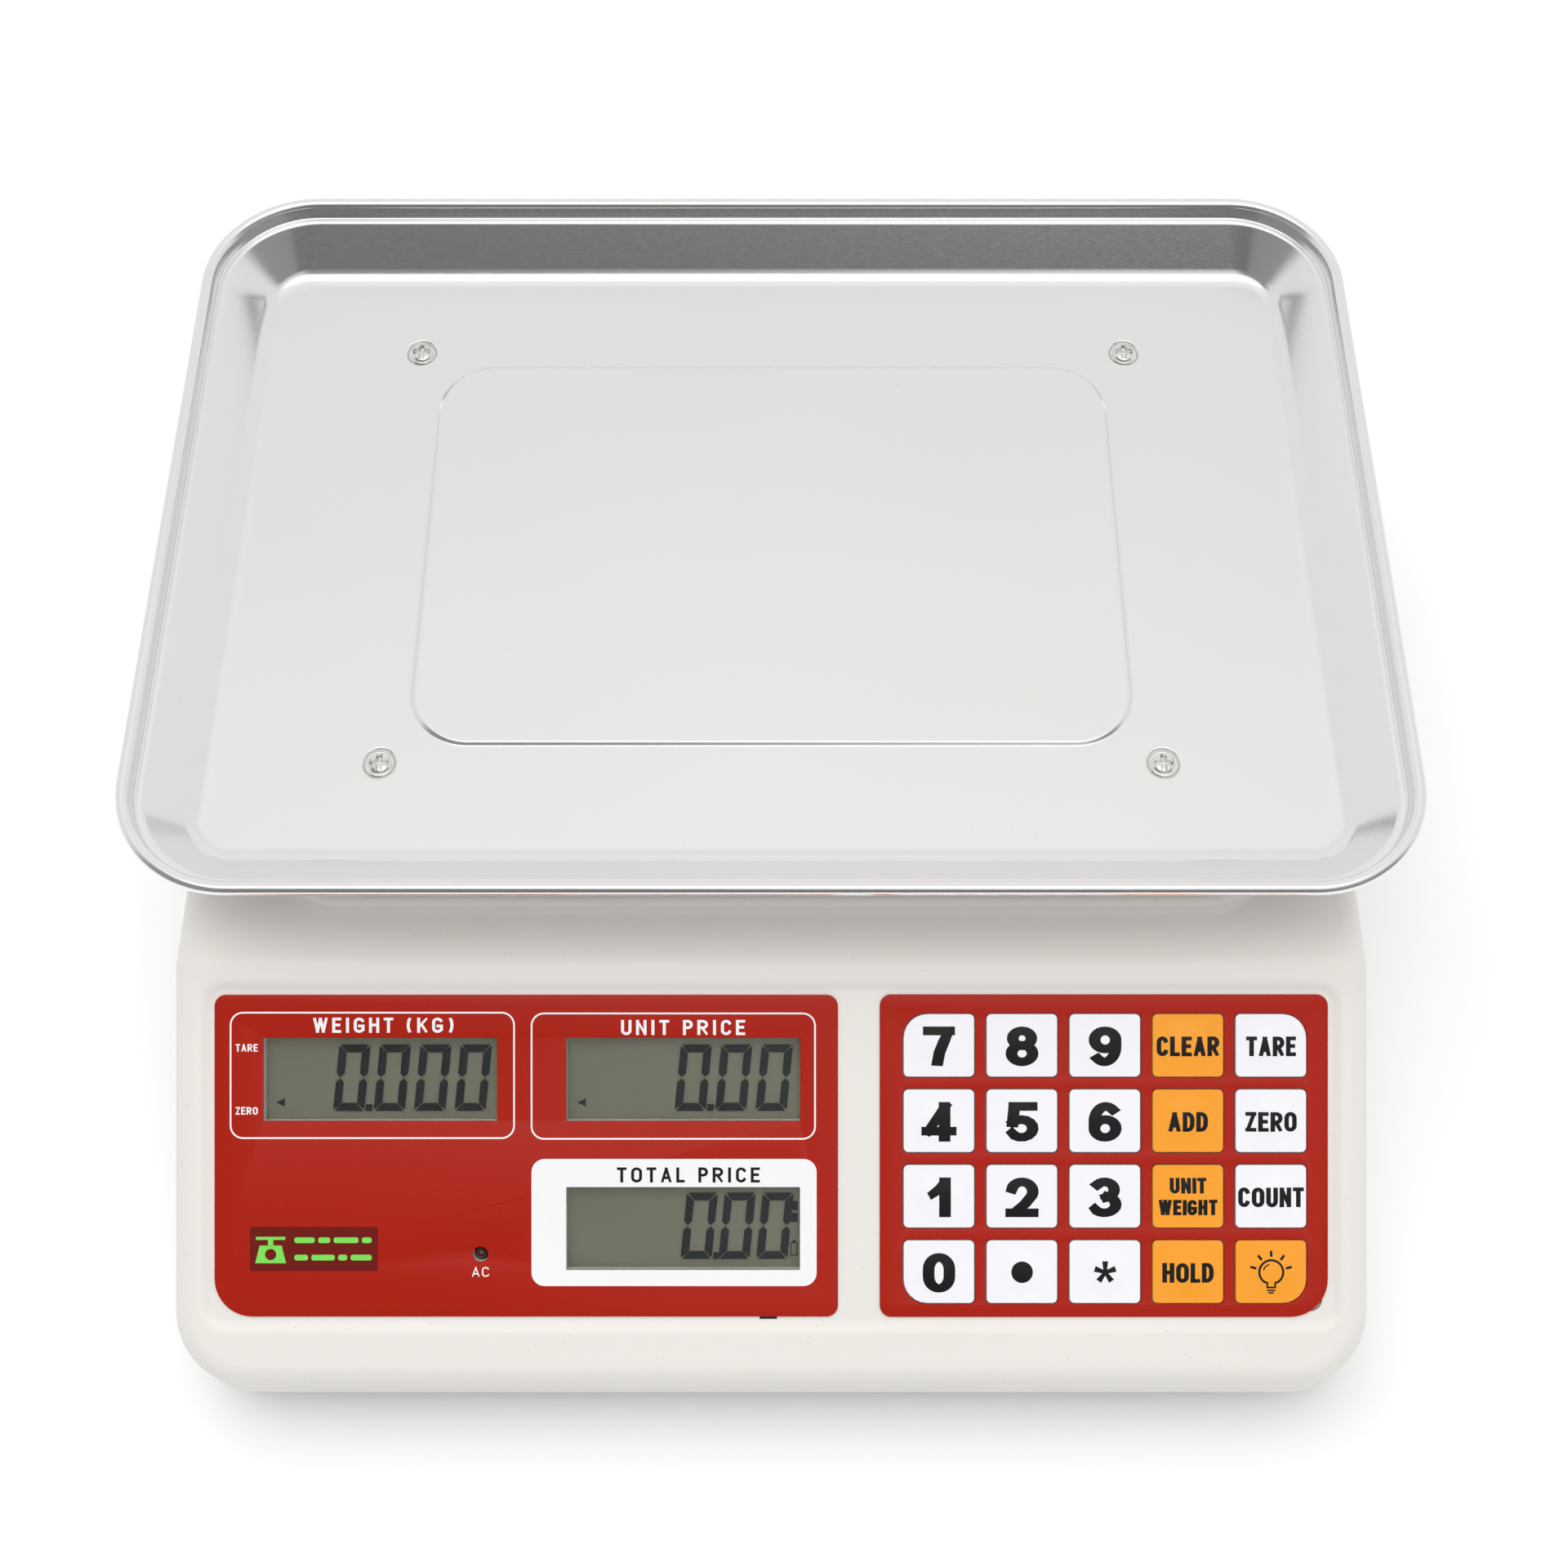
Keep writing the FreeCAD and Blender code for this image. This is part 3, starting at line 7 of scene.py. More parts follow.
import json
import logging
import math
from dataclasses import dataclass, field
from enum import Enum
from typing import Iterable, Optional, Sequence

import bmesh
import bpy
from mathutils import Matrix, Vector


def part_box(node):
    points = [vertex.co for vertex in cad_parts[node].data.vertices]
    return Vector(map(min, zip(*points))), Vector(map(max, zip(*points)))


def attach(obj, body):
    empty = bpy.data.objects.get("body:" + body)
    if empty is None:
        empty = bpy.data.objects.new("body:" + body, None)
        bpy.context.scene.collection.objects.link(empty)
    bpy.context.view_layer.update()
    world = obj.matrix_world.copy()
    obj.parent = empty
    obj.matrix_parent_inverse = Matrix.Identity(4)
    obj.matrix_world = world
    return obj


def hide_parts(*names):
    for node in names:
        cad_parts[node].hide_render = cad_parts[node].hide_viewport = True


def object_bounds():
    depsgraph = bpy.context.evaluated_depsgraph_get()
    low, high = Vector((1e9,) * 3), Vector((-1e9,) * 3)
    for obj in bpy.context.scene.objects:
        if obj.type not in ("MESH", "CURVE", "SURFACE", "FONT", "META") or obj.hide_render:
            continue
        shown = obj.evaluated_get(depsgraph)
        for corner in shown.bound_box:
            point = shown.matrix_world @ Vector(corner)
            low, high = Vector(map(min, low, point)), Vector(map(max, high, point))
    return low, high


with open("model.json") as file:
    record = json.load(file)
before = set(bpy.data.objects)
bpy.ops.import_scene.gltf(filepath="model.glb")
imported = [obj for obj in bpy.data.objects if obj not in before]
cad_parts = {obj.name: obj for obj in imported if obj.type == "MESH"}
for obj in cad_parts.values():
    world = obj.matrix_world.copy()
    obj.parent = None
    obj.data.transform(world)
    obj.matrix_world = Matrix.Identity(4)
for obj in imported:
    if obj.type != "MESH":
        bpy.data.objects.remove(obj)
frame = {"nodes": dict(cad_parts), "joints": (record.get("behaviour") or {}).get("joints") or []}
CAD_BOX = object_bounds()

LOG = logging.getLogger("scale")
MM = 0.001
TINY = 1e-6
STAGGER = 0.002 * MM
Point = tuple[float, float]
Colour = tuple[float, float, float]
Loop = list[Point]


def srgb(red: int, green: int, blue: int) -> Colour:
    """Linear colour of an 8-bit display colour.

    Args:
        red, green, blue: Channels from 0 to 255.

    Returns:
        The three linear channels.
    """
    def channel(value: int) -> float:
        share = value / 255
        return share / 12.92 if share <= 0.04045 else ((share + 0.055) / 1.055) ** 2.4

    return channel(red), channel(green), channel(blue)


# ------------------------------------------------------------------ node groups
class Group:
    """A shader node group with named sockets."""

    def __init__(self, name: str, inputs: dict[str, float], outputs: Sequence[str]) -> None:
        """Makes the group's interface.

        Args:
            name: The group's name.
            inputs: Name and default of each number that it takes.
            outputs: Names of the numbers that it gives.
        """
        self.tree = bpy.data.node_groups.new(name, "ShaderNodeTree")
        for title, value in inputs.items():
            socket = self.tree.interface.new_socket(title, in_out="INPUT", socket_type="NodeSocketFloat")
            socket.default_value = value
        for title in outputs:
            self.tree.interface.new_socket(title, in_out="OUTPUT", socket_type="NodeSocketFloat")
        self.source = self.tree.nodes.new("NodeGroupInput")
        self.target = self.tree.nodes.new("NodeGroupOutput")

    def node(self, kind: str, **settings: object) -> bpy.types.Node:
        """Adds a node with its settings."""
        made = self.tree.nodes.new(kind)
        for title, value in settings.items():
            setattr(made, title, value)
        return made

    def link(self, start: bpy.types.NodeSocket, end: bpy.types.NodeSocket) -> None:
        """Joins an output to an input."""
        self.tree.links.new(start, end)

    def maths(
        self, operation: str, first: object, second: object = 0.0, clamp: bool = False,
    ) -> bpy.types.NodeSocket:
        """Adds a sum of two numbers or sockets.

        Args:
            operation: Blender's name of the operation.
            first, second: Numbers or output sockets.
            clamp: Keeps the result from 0 to 1.

        Returns:
            The result's socket.
        """
        made = self.node("ShaderNodeMath", operation=operation, use_clamp=clamp)
        for socket, value in zip(made.inputs, (first, second)):
            if isinstance(value, bpy.types.NodeSocket):
                self.link(value, socket)
            else:
                socket.default_value = value
        return made.outputs[0]


def grain_group() -> bpy.types.NodeTree:
    """Fine moulded or rolled grain that may be stretched along X.

    Returns:
        A group that gives Height and a broad Drift, both about 0.5.
    """
    made = Group("SurfaceGrain", {"Scale": 900.0, "Stretch": 1.0, "Drift Scale": 12.0}, ("Height", "Drift"))
    place = made.node("ShaderNodeTexCoord")
    split = made.node("ShaderNodeSeparateXYZ")
    made.link(place.outputs["Object"], split.inputs[0])
    along = made.maths("DIVIDE", split.outputs["X"], made.source.outputs["Stretch"])
    joined = made.node("ShaderNodeCombineXYZ")
    made.link(along, joined.inputs["X"])
    made.link(split.outputs["Y"], joined.inputs["Y"])
    made.link(split.outputs["Z"], joined.inputs["Z"])
    fine = made.node("ShaderNodeTexNoise")
    fine.inputs["Detail"].default_value = 3.0
    made.link(joined.outputs[0], fine.inputs["Vector"])
    made.link(made.source.outputs["Scale"], fine.inputs["Scale"])
    broad = made.node("ShaderNodeTexNoise")
    broad.inputs["Detail"].default_value = 2.0
    made.link(place.outputs["Object"], broad.inputs["Vector"])
    made.link(made.source.outputs["Drift Scale"], broad.inputs["Scale"])
    made.link(fine.outputs["Fac"], made.target.inputs["Height"])
    made.link(broad.outputs["Fac"], made.target.inputs["Drift"])
    return made.tree


def speck_group() -> bpy.types.NodeTree:
    """Sparse round specks, such as dust or pin pricks.

    Returns:
        A group that gives Mask, 1 on a speck and 0 elsewhere.
    """
    made = Group("DustSpecks", {"Scale": 160.0, "Size": 0.06, "Share": 0.3}, ("Mask",))
    place = made.node("ShaderNodeTexCoord")
    cells = made.node("ShaderNodeTexVoronoi")
    made.link(place.outputs["Object"], cells.inputs["Vector"])
    made.link(made.source.outputs["Scale"], cells.inputs["Scale"])
    round_spot = made.maths("LESS_THAN", cells.outputs["Distance"], made.source.outputs["Size"])
    pick = made.node("ShaderNodeSeparateColor")
    made.link(cells.outputs["Color"], pick.inputs[0])
    chosen = made.maths("LESS_THAN", pick.outputs[0], made.source.outputs["Share"])
    made.link(made.maths("MULTIPLY", round_spot, chosen), made.target.inputs["Mask"])
    return made.tree


def edge_polish_and_shade_group() -> bpy.types.NodeTree:
    """Polish on proud edges, and painted shade in hollow corners.

    Returns:
        A group that gives an Edge mask and a mask of painted shade in hollows.
    """
    made = Group("EdgePolishAndCornerShade", {"Width": 0.06, "Break": 40.0}, ("Edge", "Corner"))
    shape = made.node("ShaderNodeNewGeometry")
    place = made.node("ShaderNodeTexCoord")
    patchy = made.node("ShaderNodeTexNoise")
    made.link(place.outputs["Object"], patchy.inputs["Vector"])
    made.link(made.source.outputs["Break"], patchy.inputs["Scale"])
    proud = made.maths("SUBTRACT", shape.outputs["Pointiness"], 0.5)
    proud = made.maths("DIVIDE", proud, made.source.outputs["Width"], clamp=True)
    made.link(made.maths("MULTIPLY", proud, patchy.outputs["Fac"]), made.target.inputs["Edge"])
    # Painted shade: this mask rises where the surface is hollow, so colour is darkened where shade would
    # fall.
    deep = made.maths("SUBTRACT", 0.5, shape.outputs["Pointiness"])
    deep = made.maths("DIVIDE", deep, made.source.outputs["Width"], clamp=True)
    made.link(made.maths("MULTIPLY", deep, patchy.outputs["Fac"]), made.target.inputs["Corner"])
    return made.tree


class Effects:
    """The shared node groups, each made once."""

    def __init__(self) -> None:
        """Makes every group."""
        self.grain = grain_group()
        self.specks = speck_group()
        self.polish_and_shade = edge_polish_and_shade_group()


EFFECTS = Effects()


class Paint:
    """Wiring of one material around its Principled shader."""

    def __init__(self, name: str) -> None:
        """Makes an empty material with a Principled shader."""
        self.material = bpy.data.materials.new(name)
        self.material.use_nodes = True
        self.tree = self.material.node_tree
        self.shader = self.tree.nodes["Principled BSDF"]

    def fix(self, **values: object) -> None:
        """Sets constants on the shader's own sockets; underscores stand for spaces."""
        for title, value in values.items():
            self.shader.inputs[title.replace("_", " ")].default_value = value

    def group(self, tree: bpy.types.NodeTree, **values: float) -> bpy.types.Node:
        """Places a shared effect with its own values."""
        made = self.tree.nodes.new("ShaderNodeGroup")
        made.node_tree = tree
        for title, value in values.items():
            made.inputs[title.replace("_", " ")].default_value = value
        return made

    def mix(self, mask: bpy.types.NodeSocket, first: object, second: object) -> bpy.types.NodeSocket:
        """Blends two colours, or a socket and a colour, by a mask.

        Args:
            mask: Output socket from 0 to 1.
            first: Colour or output socket where the mask is 0.
            second: Colour or output socket where it is 1.

        Returns:
            The blended colour's socket.
        """
        made = self.tree.nodes.new("ShaderNodeMix")
        made.data_type = "RGBA"
        self.tree.links.new(mask, made.inputs["Factor"])
        for socket, value in ((made.inputs[6], first), (made.inputs[7], second)):
            if isinstance(value, bpy.types.NodeSocket):
                self.tree.links.new(value, socket)
            else:
                socket.default_value = (*value, 1.0)
        return made.outputs[2]

    def ramp(self, start: bpy.types.NodeSocket, low: float, high: float) -> bpy.types.NodeSocket:
        """Spreads a 0 to 1 number over another range."""
        made = self.tree.nodes.new("ShaderNodeMapRange")
        made.inputs["To Min"].default_value = low
        made.inputs["To Max"].default_value = high
        made.inputs["From Min"].default_value = 0.3
        made.inputs["From Max"].default_value = 0.7
        self.tree.links.new(start, made.inputs["Value"])
        return made.outputs[0]

    def feed(self, title: str, start: bpy.types.NodeSocket) -> None:
        """Leads a socket to one of the shader's inputs."""
        self.tree.links.new(start, self.shader.inputs[title])

    def bump(self, height: bpy.types.NodeSocket, depth: float, strength: float = 1.0) -> None:
        """Raises the surface by a height from 0 to 1.

        Args:
            height: Socket of the height.
            depth: Height of 1, in metres.
            strength: How far the light follows it.
        """
        made = self.tree.nodes.new("ShaderNodeBump")
        made.inputs["Distance"].default_value = depth
        made.inputs["Strength"].default_value = strength
        self.tree.links.new(height, made.inputs["Height"])
        self.feed("Normal", made.outputs[0])


# ------------------------------------------------------------------ finishes
@dataclass(frozen=True)
class Plastic:
    """Moulded plastic with a fine grain, a slight drift of tone and painted shade in hollow corners."""

    name: str
    colour: Colour
    shade: float = 0.94
    roughness: float = 0.38
    grain: float = 1400.0
    depth: float = 0.00002
    dust: Optional[Colour] = None
    coat: float = 0.0

    def make(self) -> bpy.types.Material:
        """Builds the material."""
        paint = Paint(self.name)
        paint.fix(IOR=1.5, Coat_Weight=self.coat, Coat_Roughness=0.08)
        grain = paint.group(EFFECTS.grain, Scale=self.grain, Drift_Scale=9.0)
        polish_and_shade = paint.group(EFFECTS.polish_and_shade, Width=0.08, Break=60.0)
        darker = tuple(channel * self.shade for channel in self.colour)
        colour = paint.mix(grain.outputs["Drift"], self.colour, darker)
        # Painted shade: the colour is darkened to 0.8 in hollow corners.
        painted_corner_shade = tuple(channel * 0.8 for channel in self.colour)
        colour = paint.mix(polish_and_shade.outputs["Corner"], colour, painted_corner_shade)
        if self.dust:
            specks = paint.group(EFFECTS.specks, Scale=420.0, Size=0.07, Share=0.1)
            colour = paint.mix(specks.outputs["Mask"], colour, self.dust)
        paint.feed("Base Color", colour)
        rough = paint.ramp(grain.outputs["Drift"], self.roughness - 0.04, self.roughness + 0.04)
        paint.feed("Roughness", rough)
        paint.bump(grain.outputs["Height"], self.depth, 0.5)
        return paint.material


@dataclass(frozen=True)
class Steel:
    """Rolled, plated or cast metal, with painted shade in hollow corners."""

    name: str
    colour: Colour
    roughness: float = 0.24
    grain: float = 2600.0
    stretch: float = 12.0
    depth: float = 0.000006
    dark: float = 0.9

    def make(self) -> bpy.types.Material:
        """Builds the material."""
        paint = Paint(self.name)
        paint.fix(Metallic=1.0)
        grain = paint.group(EFFECTS.grain, Scale=self.grain, Stretch=self.stretch, Drift_Scale=14.0)
        specks = paint.group(EFFECTS.specks, Scale=300.0, Size=0.05, Share=0.12)
        polish_and_shade = paint.group(EFFECTS.polish_and_shade, Width=0.1, Break=80.0)
        darker = tuple(channel * self.dark for channel in self.colour)
        colour = paint.mix(grain.outputs["Drift"], self.colour, darker)
        # Painted shade: the colour is darkened to 0.7 in hollow corners.
        colour = paint.mix(polish_and_shade.outputs["Corner"], colour, tuple(channel * 0.7 for channel in self.colour))
        colour = paint.mix(specks.outputs["Mask"], colour, tuple(channel * 0.75 for channel in self.colour))
        paint.feed("Base Color", colour)
        rough = paint.ramp(grain.outputs["Height"], self.roughness - 0.05, self.roughness + 0.05)
        paint.feed("Roughness", rough)
        paint.bump(grain.outputs["Height"], self.depth, 0.4)
        return paint.material


@dataclass(frozen=True)
class Film:
    """Printed polycarbonate film: even ink under a clear, slightly wavy face."""

    name: str
    colour: Colour
    roughness: float = 0.3
    shade: float = 0.93
    gloss: float = 0.25

    def make(self) -> bpy.types.Material:
        """Builds the material."""
        paint = Paint(self.name)
        paint.fix(IOR=1.5, Specular_IOR_Level=self.gloss)
        grain = paint.group(EFFECTS.grain, Scale=3200.0, Drift_Scale=22.0)
        specks = paint.group(EFFECTS.specks, Scale=260.0, Size=0.05, Share=0.08)
        darker = tuple(channel * self.shade for channel in self.colour)
        colour = paint.mix(grain.outputs["Drift"], self.colour, darker)
        lighter = tuple(min(channel * 1.12 + 0.02, 0.95) for channel in self.colour)
        paint.feed("Base Color", paint.mix(specks.outputs["Mask"], colour, lighter))
        rough = paint.ramp(grain.outputs["Height"], self.roughness - 0.05, self.roughness + 0.05)
        paint.feed("Roughness", rough)
        paint.bump(grain.outputs["Height"], 0.000008, 0.35)
        return paint.material


@dataclass(frozen=True)
class Clear:
    """Clear film or lens."""

    name: str
    colour: Colour = (0.97, 0.98, 0.97)
    roughness: float = 0.06

    def make(self) -> bpy.types.Material:
        """Builds the material."""
        paint = Paint(self.name)
        paint.fix(Transmission_Weight=1.0, IOR=1.3, Metallic=0.0)
        grain = paint.group(EFFECTS.grain, Scale=300.0, Drift_Scale=30.0)
        tint = tuple(channel * 0.985 for channel in self.colour)
        paint.feed("Base Color", paint.mix(grain.outputs["Drift"], self.colour, tint))
        rough = paint.ramp(grain.outputs["Height"], self.roughness * 0.6, self.roughness * 1.4)
        paint.feed("Roughness", rough)
        return paint.material


# ------------------------------------------------------------------ mesh making
def rounded(
    width: float, depth: float, radii: Sequence[float] | float, steps: int = 8, mid: Point = (0.0, 0.0),
) -> Loop:
    """Outline of a rounded rectangle, anticlockwise from its front right corner.

    Args:
        width: Size along X.
        depth: Size along Y.
        radii: One radius, or those of the front right, back right, back left and front left.
        steps: Pieces of each corner's arc.
        mid: Its middle.

    Returns:
        The outline's points.
    """
    four = radii if isinstance(radii, (tuple, list)) else (radii,) * 4
    loop: Loop = []
    for number, (side_x, side_y) in enumerate(((1, -1), (1, 1), (-1, 1), (-1, -1))):
        radius = max(four[number], TINY)
        centre_x = mid[0] + side_x * (width / 2 - radius)
        centre_y = mid[1] + side_y * (depth / 2 - radius)
        for step in range(steps + 1):
            turn = math.pi / 2 * (number - 1 + step / steps)
            loop.append((centre_x + radius * math.cos(turn), centre_y + radius * math.sin(turn)))
    return loop


def circle(radius: float, mid: Point = (0.0, 0.0), steps: int = 40) -> Loop:
    """Outline of a circle."""
    turns = [2 * math.pi * step / steps for step in range(steps)]
    return [(mid[0] + radius * math.cos(turn), mid[1] + radius * math.sin(turn)) for turn in turns]


def smooth(piece: bpy.types.Object, degrees: float = 32.0) -> bpy.types.Object:
    """Shades a mesh smooth, but keeps edges that turn by more than an angle.

    Args:
        piece: The mesh object.
        degrees: The angle.

    Returns:
        The same object.
    """
    piece.data.shade_smooth()
    work = bmesh.new()
    work.from_mesh(piece.data)
    limit = math.radians(degrees)
    for edge in work.edges:
        edge.smooth = len(edge.link_faces) == 2 and edge.calc_face_angle(0.0) < limit
    work.to_mesh(piece.data)
    work.free()
    return piece


def piece_of(name: str, work: bmesh.types.BMesh, degrees: float = 32.0) -> bpy.types.Object:
    """Turns a finished bmesh into an object in the scene.

    Args:
        name: The piece's name.
        work: The mesh, which is freed.
        degrees: Edges that turn further stay sharp.

    Returns:
        The object.
    """
    bmesh.ops.remove_doubles(work, verts=work.verts, dist=TINY)
    bmesh.ops.recalc_face_normals(work, faces=work.faces)
    data = bpy.data.meshes.new(name)
    work.to_mesh(data)
    work.free()
    piece = bpy.data.objects.new(name, data)
    bpy.context.scene.collection.objects.link(piece)
    return smooth(piece, degrees)


def curve_mesh(curve: bpy.types.Curve) -> bpy.types.Mesh:
    """Mesh of a flat curve or a word, which is then removed."""
    holder = bpy.data.objects.new("outline", curve)
    bpy.context.scene.collection.objects.link(holder)
    bpy.context.view_layer.update()
    graph = bpy.context.evaluated_depsgraph_get()
    data = bpy.data.meshes.new_from_object(holder.evaluated_get(graph))
    bpy.data.objects.remove(holder)
    return data


def flat_mesh(loops: Iterable[Loop], low: float, high: float, bevel: float = 0.0) -> bpy.types.Mesh:
    """Flat plate with holes: the first loop is its edge, and those inside it are holes.

    Args:
        loops: Outlines in the plane.
        low: Height of its underside.
        high: Height of its face.
        bevel: Rounding of its edges.

    Returns:
        The mesh.
    """
    curve = bpy.data.curves.new("plate", "CURVE")
    curve.dimensions = "2D"
    curve.fill_mode = "BOTH"
    curve.extrude = (high - low) / 2 - bevel
    curve.bevel_depth = bevel
    curve.bevel_resolution = 2
    curve.offset = -bevel
    for loop in loops:
        spline = curve.splines.new("POLY")
        spline.points.add(len(loop) - 1)
        for point, (x, y) in zip(spline.points, loop):
            point.co = (x, y, 0.0, 1.0)
        spline.use_cyclic_u = True
    data = curve_mesh(curve)
    data.transform(Matrix.Translation((0, 0, (low + high) / 2)))
    return data


def merged(name: str, parts: Sequence[bpy.types.Mesh], degrees: float = 32.0) -> bpy.types.Object:
    """One piece from several meshes, which are removed.

    Args:
        name: The piece's name.
        parts: The meshes.
        degrees: Edges that turn further stay sharp.

    Returns:
        The object.
    """
    work = bmesh.new()
    for data in parts:
        work.from_mesh(data)
        bpy.data.meshes.remove(data)
    return piece_of(name, work, degrees)


def clear_pane(size: Point, at: Point) -> bpy.types.Mesh:
    """Thin clear pane just below the face of a film, inside its window."""
    play = 0.1 * MM
    return flat_mesh([rounded(size[0] - play, size[1] - play, 0.3 * MM, 3, at)], -0.3 * MM, -0.08 * MM)


def moved(data: bpy.types.Mesh, x: float, y: float) -> bpy.types.Mesh:
    """Shifts a mesh in its plane and returns it."""
    data.transform(Matrix.Translation((x, y, 0)))
    return data


def dress(piece: bpy.types.Object, material: bpy.types.Material) -> bpy.types.Object:
    """Gives the whole piece one material."""
    piece.data.materials.clear()
    piece.data.materials.append(material)
    return piece


def dress_node(node: str, material: bpy.types.Material) -> None:
    """Gives a carried-over frame node a better material in its slot."""
    held = frame["nodes"][node]
    if not held.material_slots:
        held.data.materials.append(material)
    for socket in held.material_slots:
        socket.material = material


class Panel:
    """The sloping panel's own plane: x to the right, y up the slope, z out of it."""

    def __init__(self) -> None:
        """Reads the slope and the film's face from the frame."""
        press = next(joint for joint in frame["joints"] if joint["name"] == "key_5_press")
        self.normal = -Vector(press["axis"]).normalized()
        self.slope = math.atan2(-self.normal.y, self.normal.z)
        turn = Matrix.Rotation(self.slope, 4, "X")
        inverse = turn.inverted()
        points = [inverse @ vertex.co for vertex in frame["nodes"]["display_overlay"].data.vertices]
        face = max(point.z for point in points)
        along = (max(point.y for point in points) + min(point.y for point in points)) / 2
        self.film = face - min(point.z for point in points)
        self.place = turn @ Matrix.Translation((0.0, along, face))

    def local_box(self, node: str) -> tuple[Vector, Vector]:
        """Lowest and highest corner of a node, in the panel's plane."""
        inverse = self.place.inverted()
        points = [inverse @ vertex.co for vertex in frame["nodes"][node].data.vertices]
        low = Vector(min(point[axis] for point in points) for axis in range(3))
        high = Vector(max(point[axis] for point in points) for axis in range(3))
        return low, high

    def put(self, piece: bpy.types.Object) -> bpy.types.Object:
        """Turns a piece's mesh from the panel's plane into the frame."""
        piece.data.transform(self.place)
        return piece


# ------------------------------------------------------------------ lettering
def arc(mid: Point, radii: Point, start: float, end: float, steps: int = 12) -> list[Point]:
    """Points of an elliptical arc, angles in degrees."""
    turns = [math.radians(start + (end - start) * step / steps) for step in range(steps + 1)]
    return [(mid[0] + radii[0] * math.cos(turn), mid[1] + radii[1] * math.sin(turn)) for turn in turns]


def oval(waist: float = 0.34) -> list[Point]:
    """Closed upright oval that fills the unit square; waist is the height of its round ends."""
    top = arc((0.5, 1 - waist), (0.5, waist), 0, 180)
    return top + arc((0.5, waist), (0.5, waist), 180, 360) + [top[0]]


@dataclass(frozen=True)
class Glyph:
    """One letter or figure: pen strokes in a unit square, and its width against its height.

    A stroke that starts where it ends is a closed ring.
    """

    width: float
    strokes: tuple[tuple[Point, ...], ...]


def glyph(width: float, *strokes: Sequence[Point]) -> Glyph:
    """Makes a glyph from its strokes."""
    return Glyph(width, tuple(tuple(stroke) for stroke in strokes))


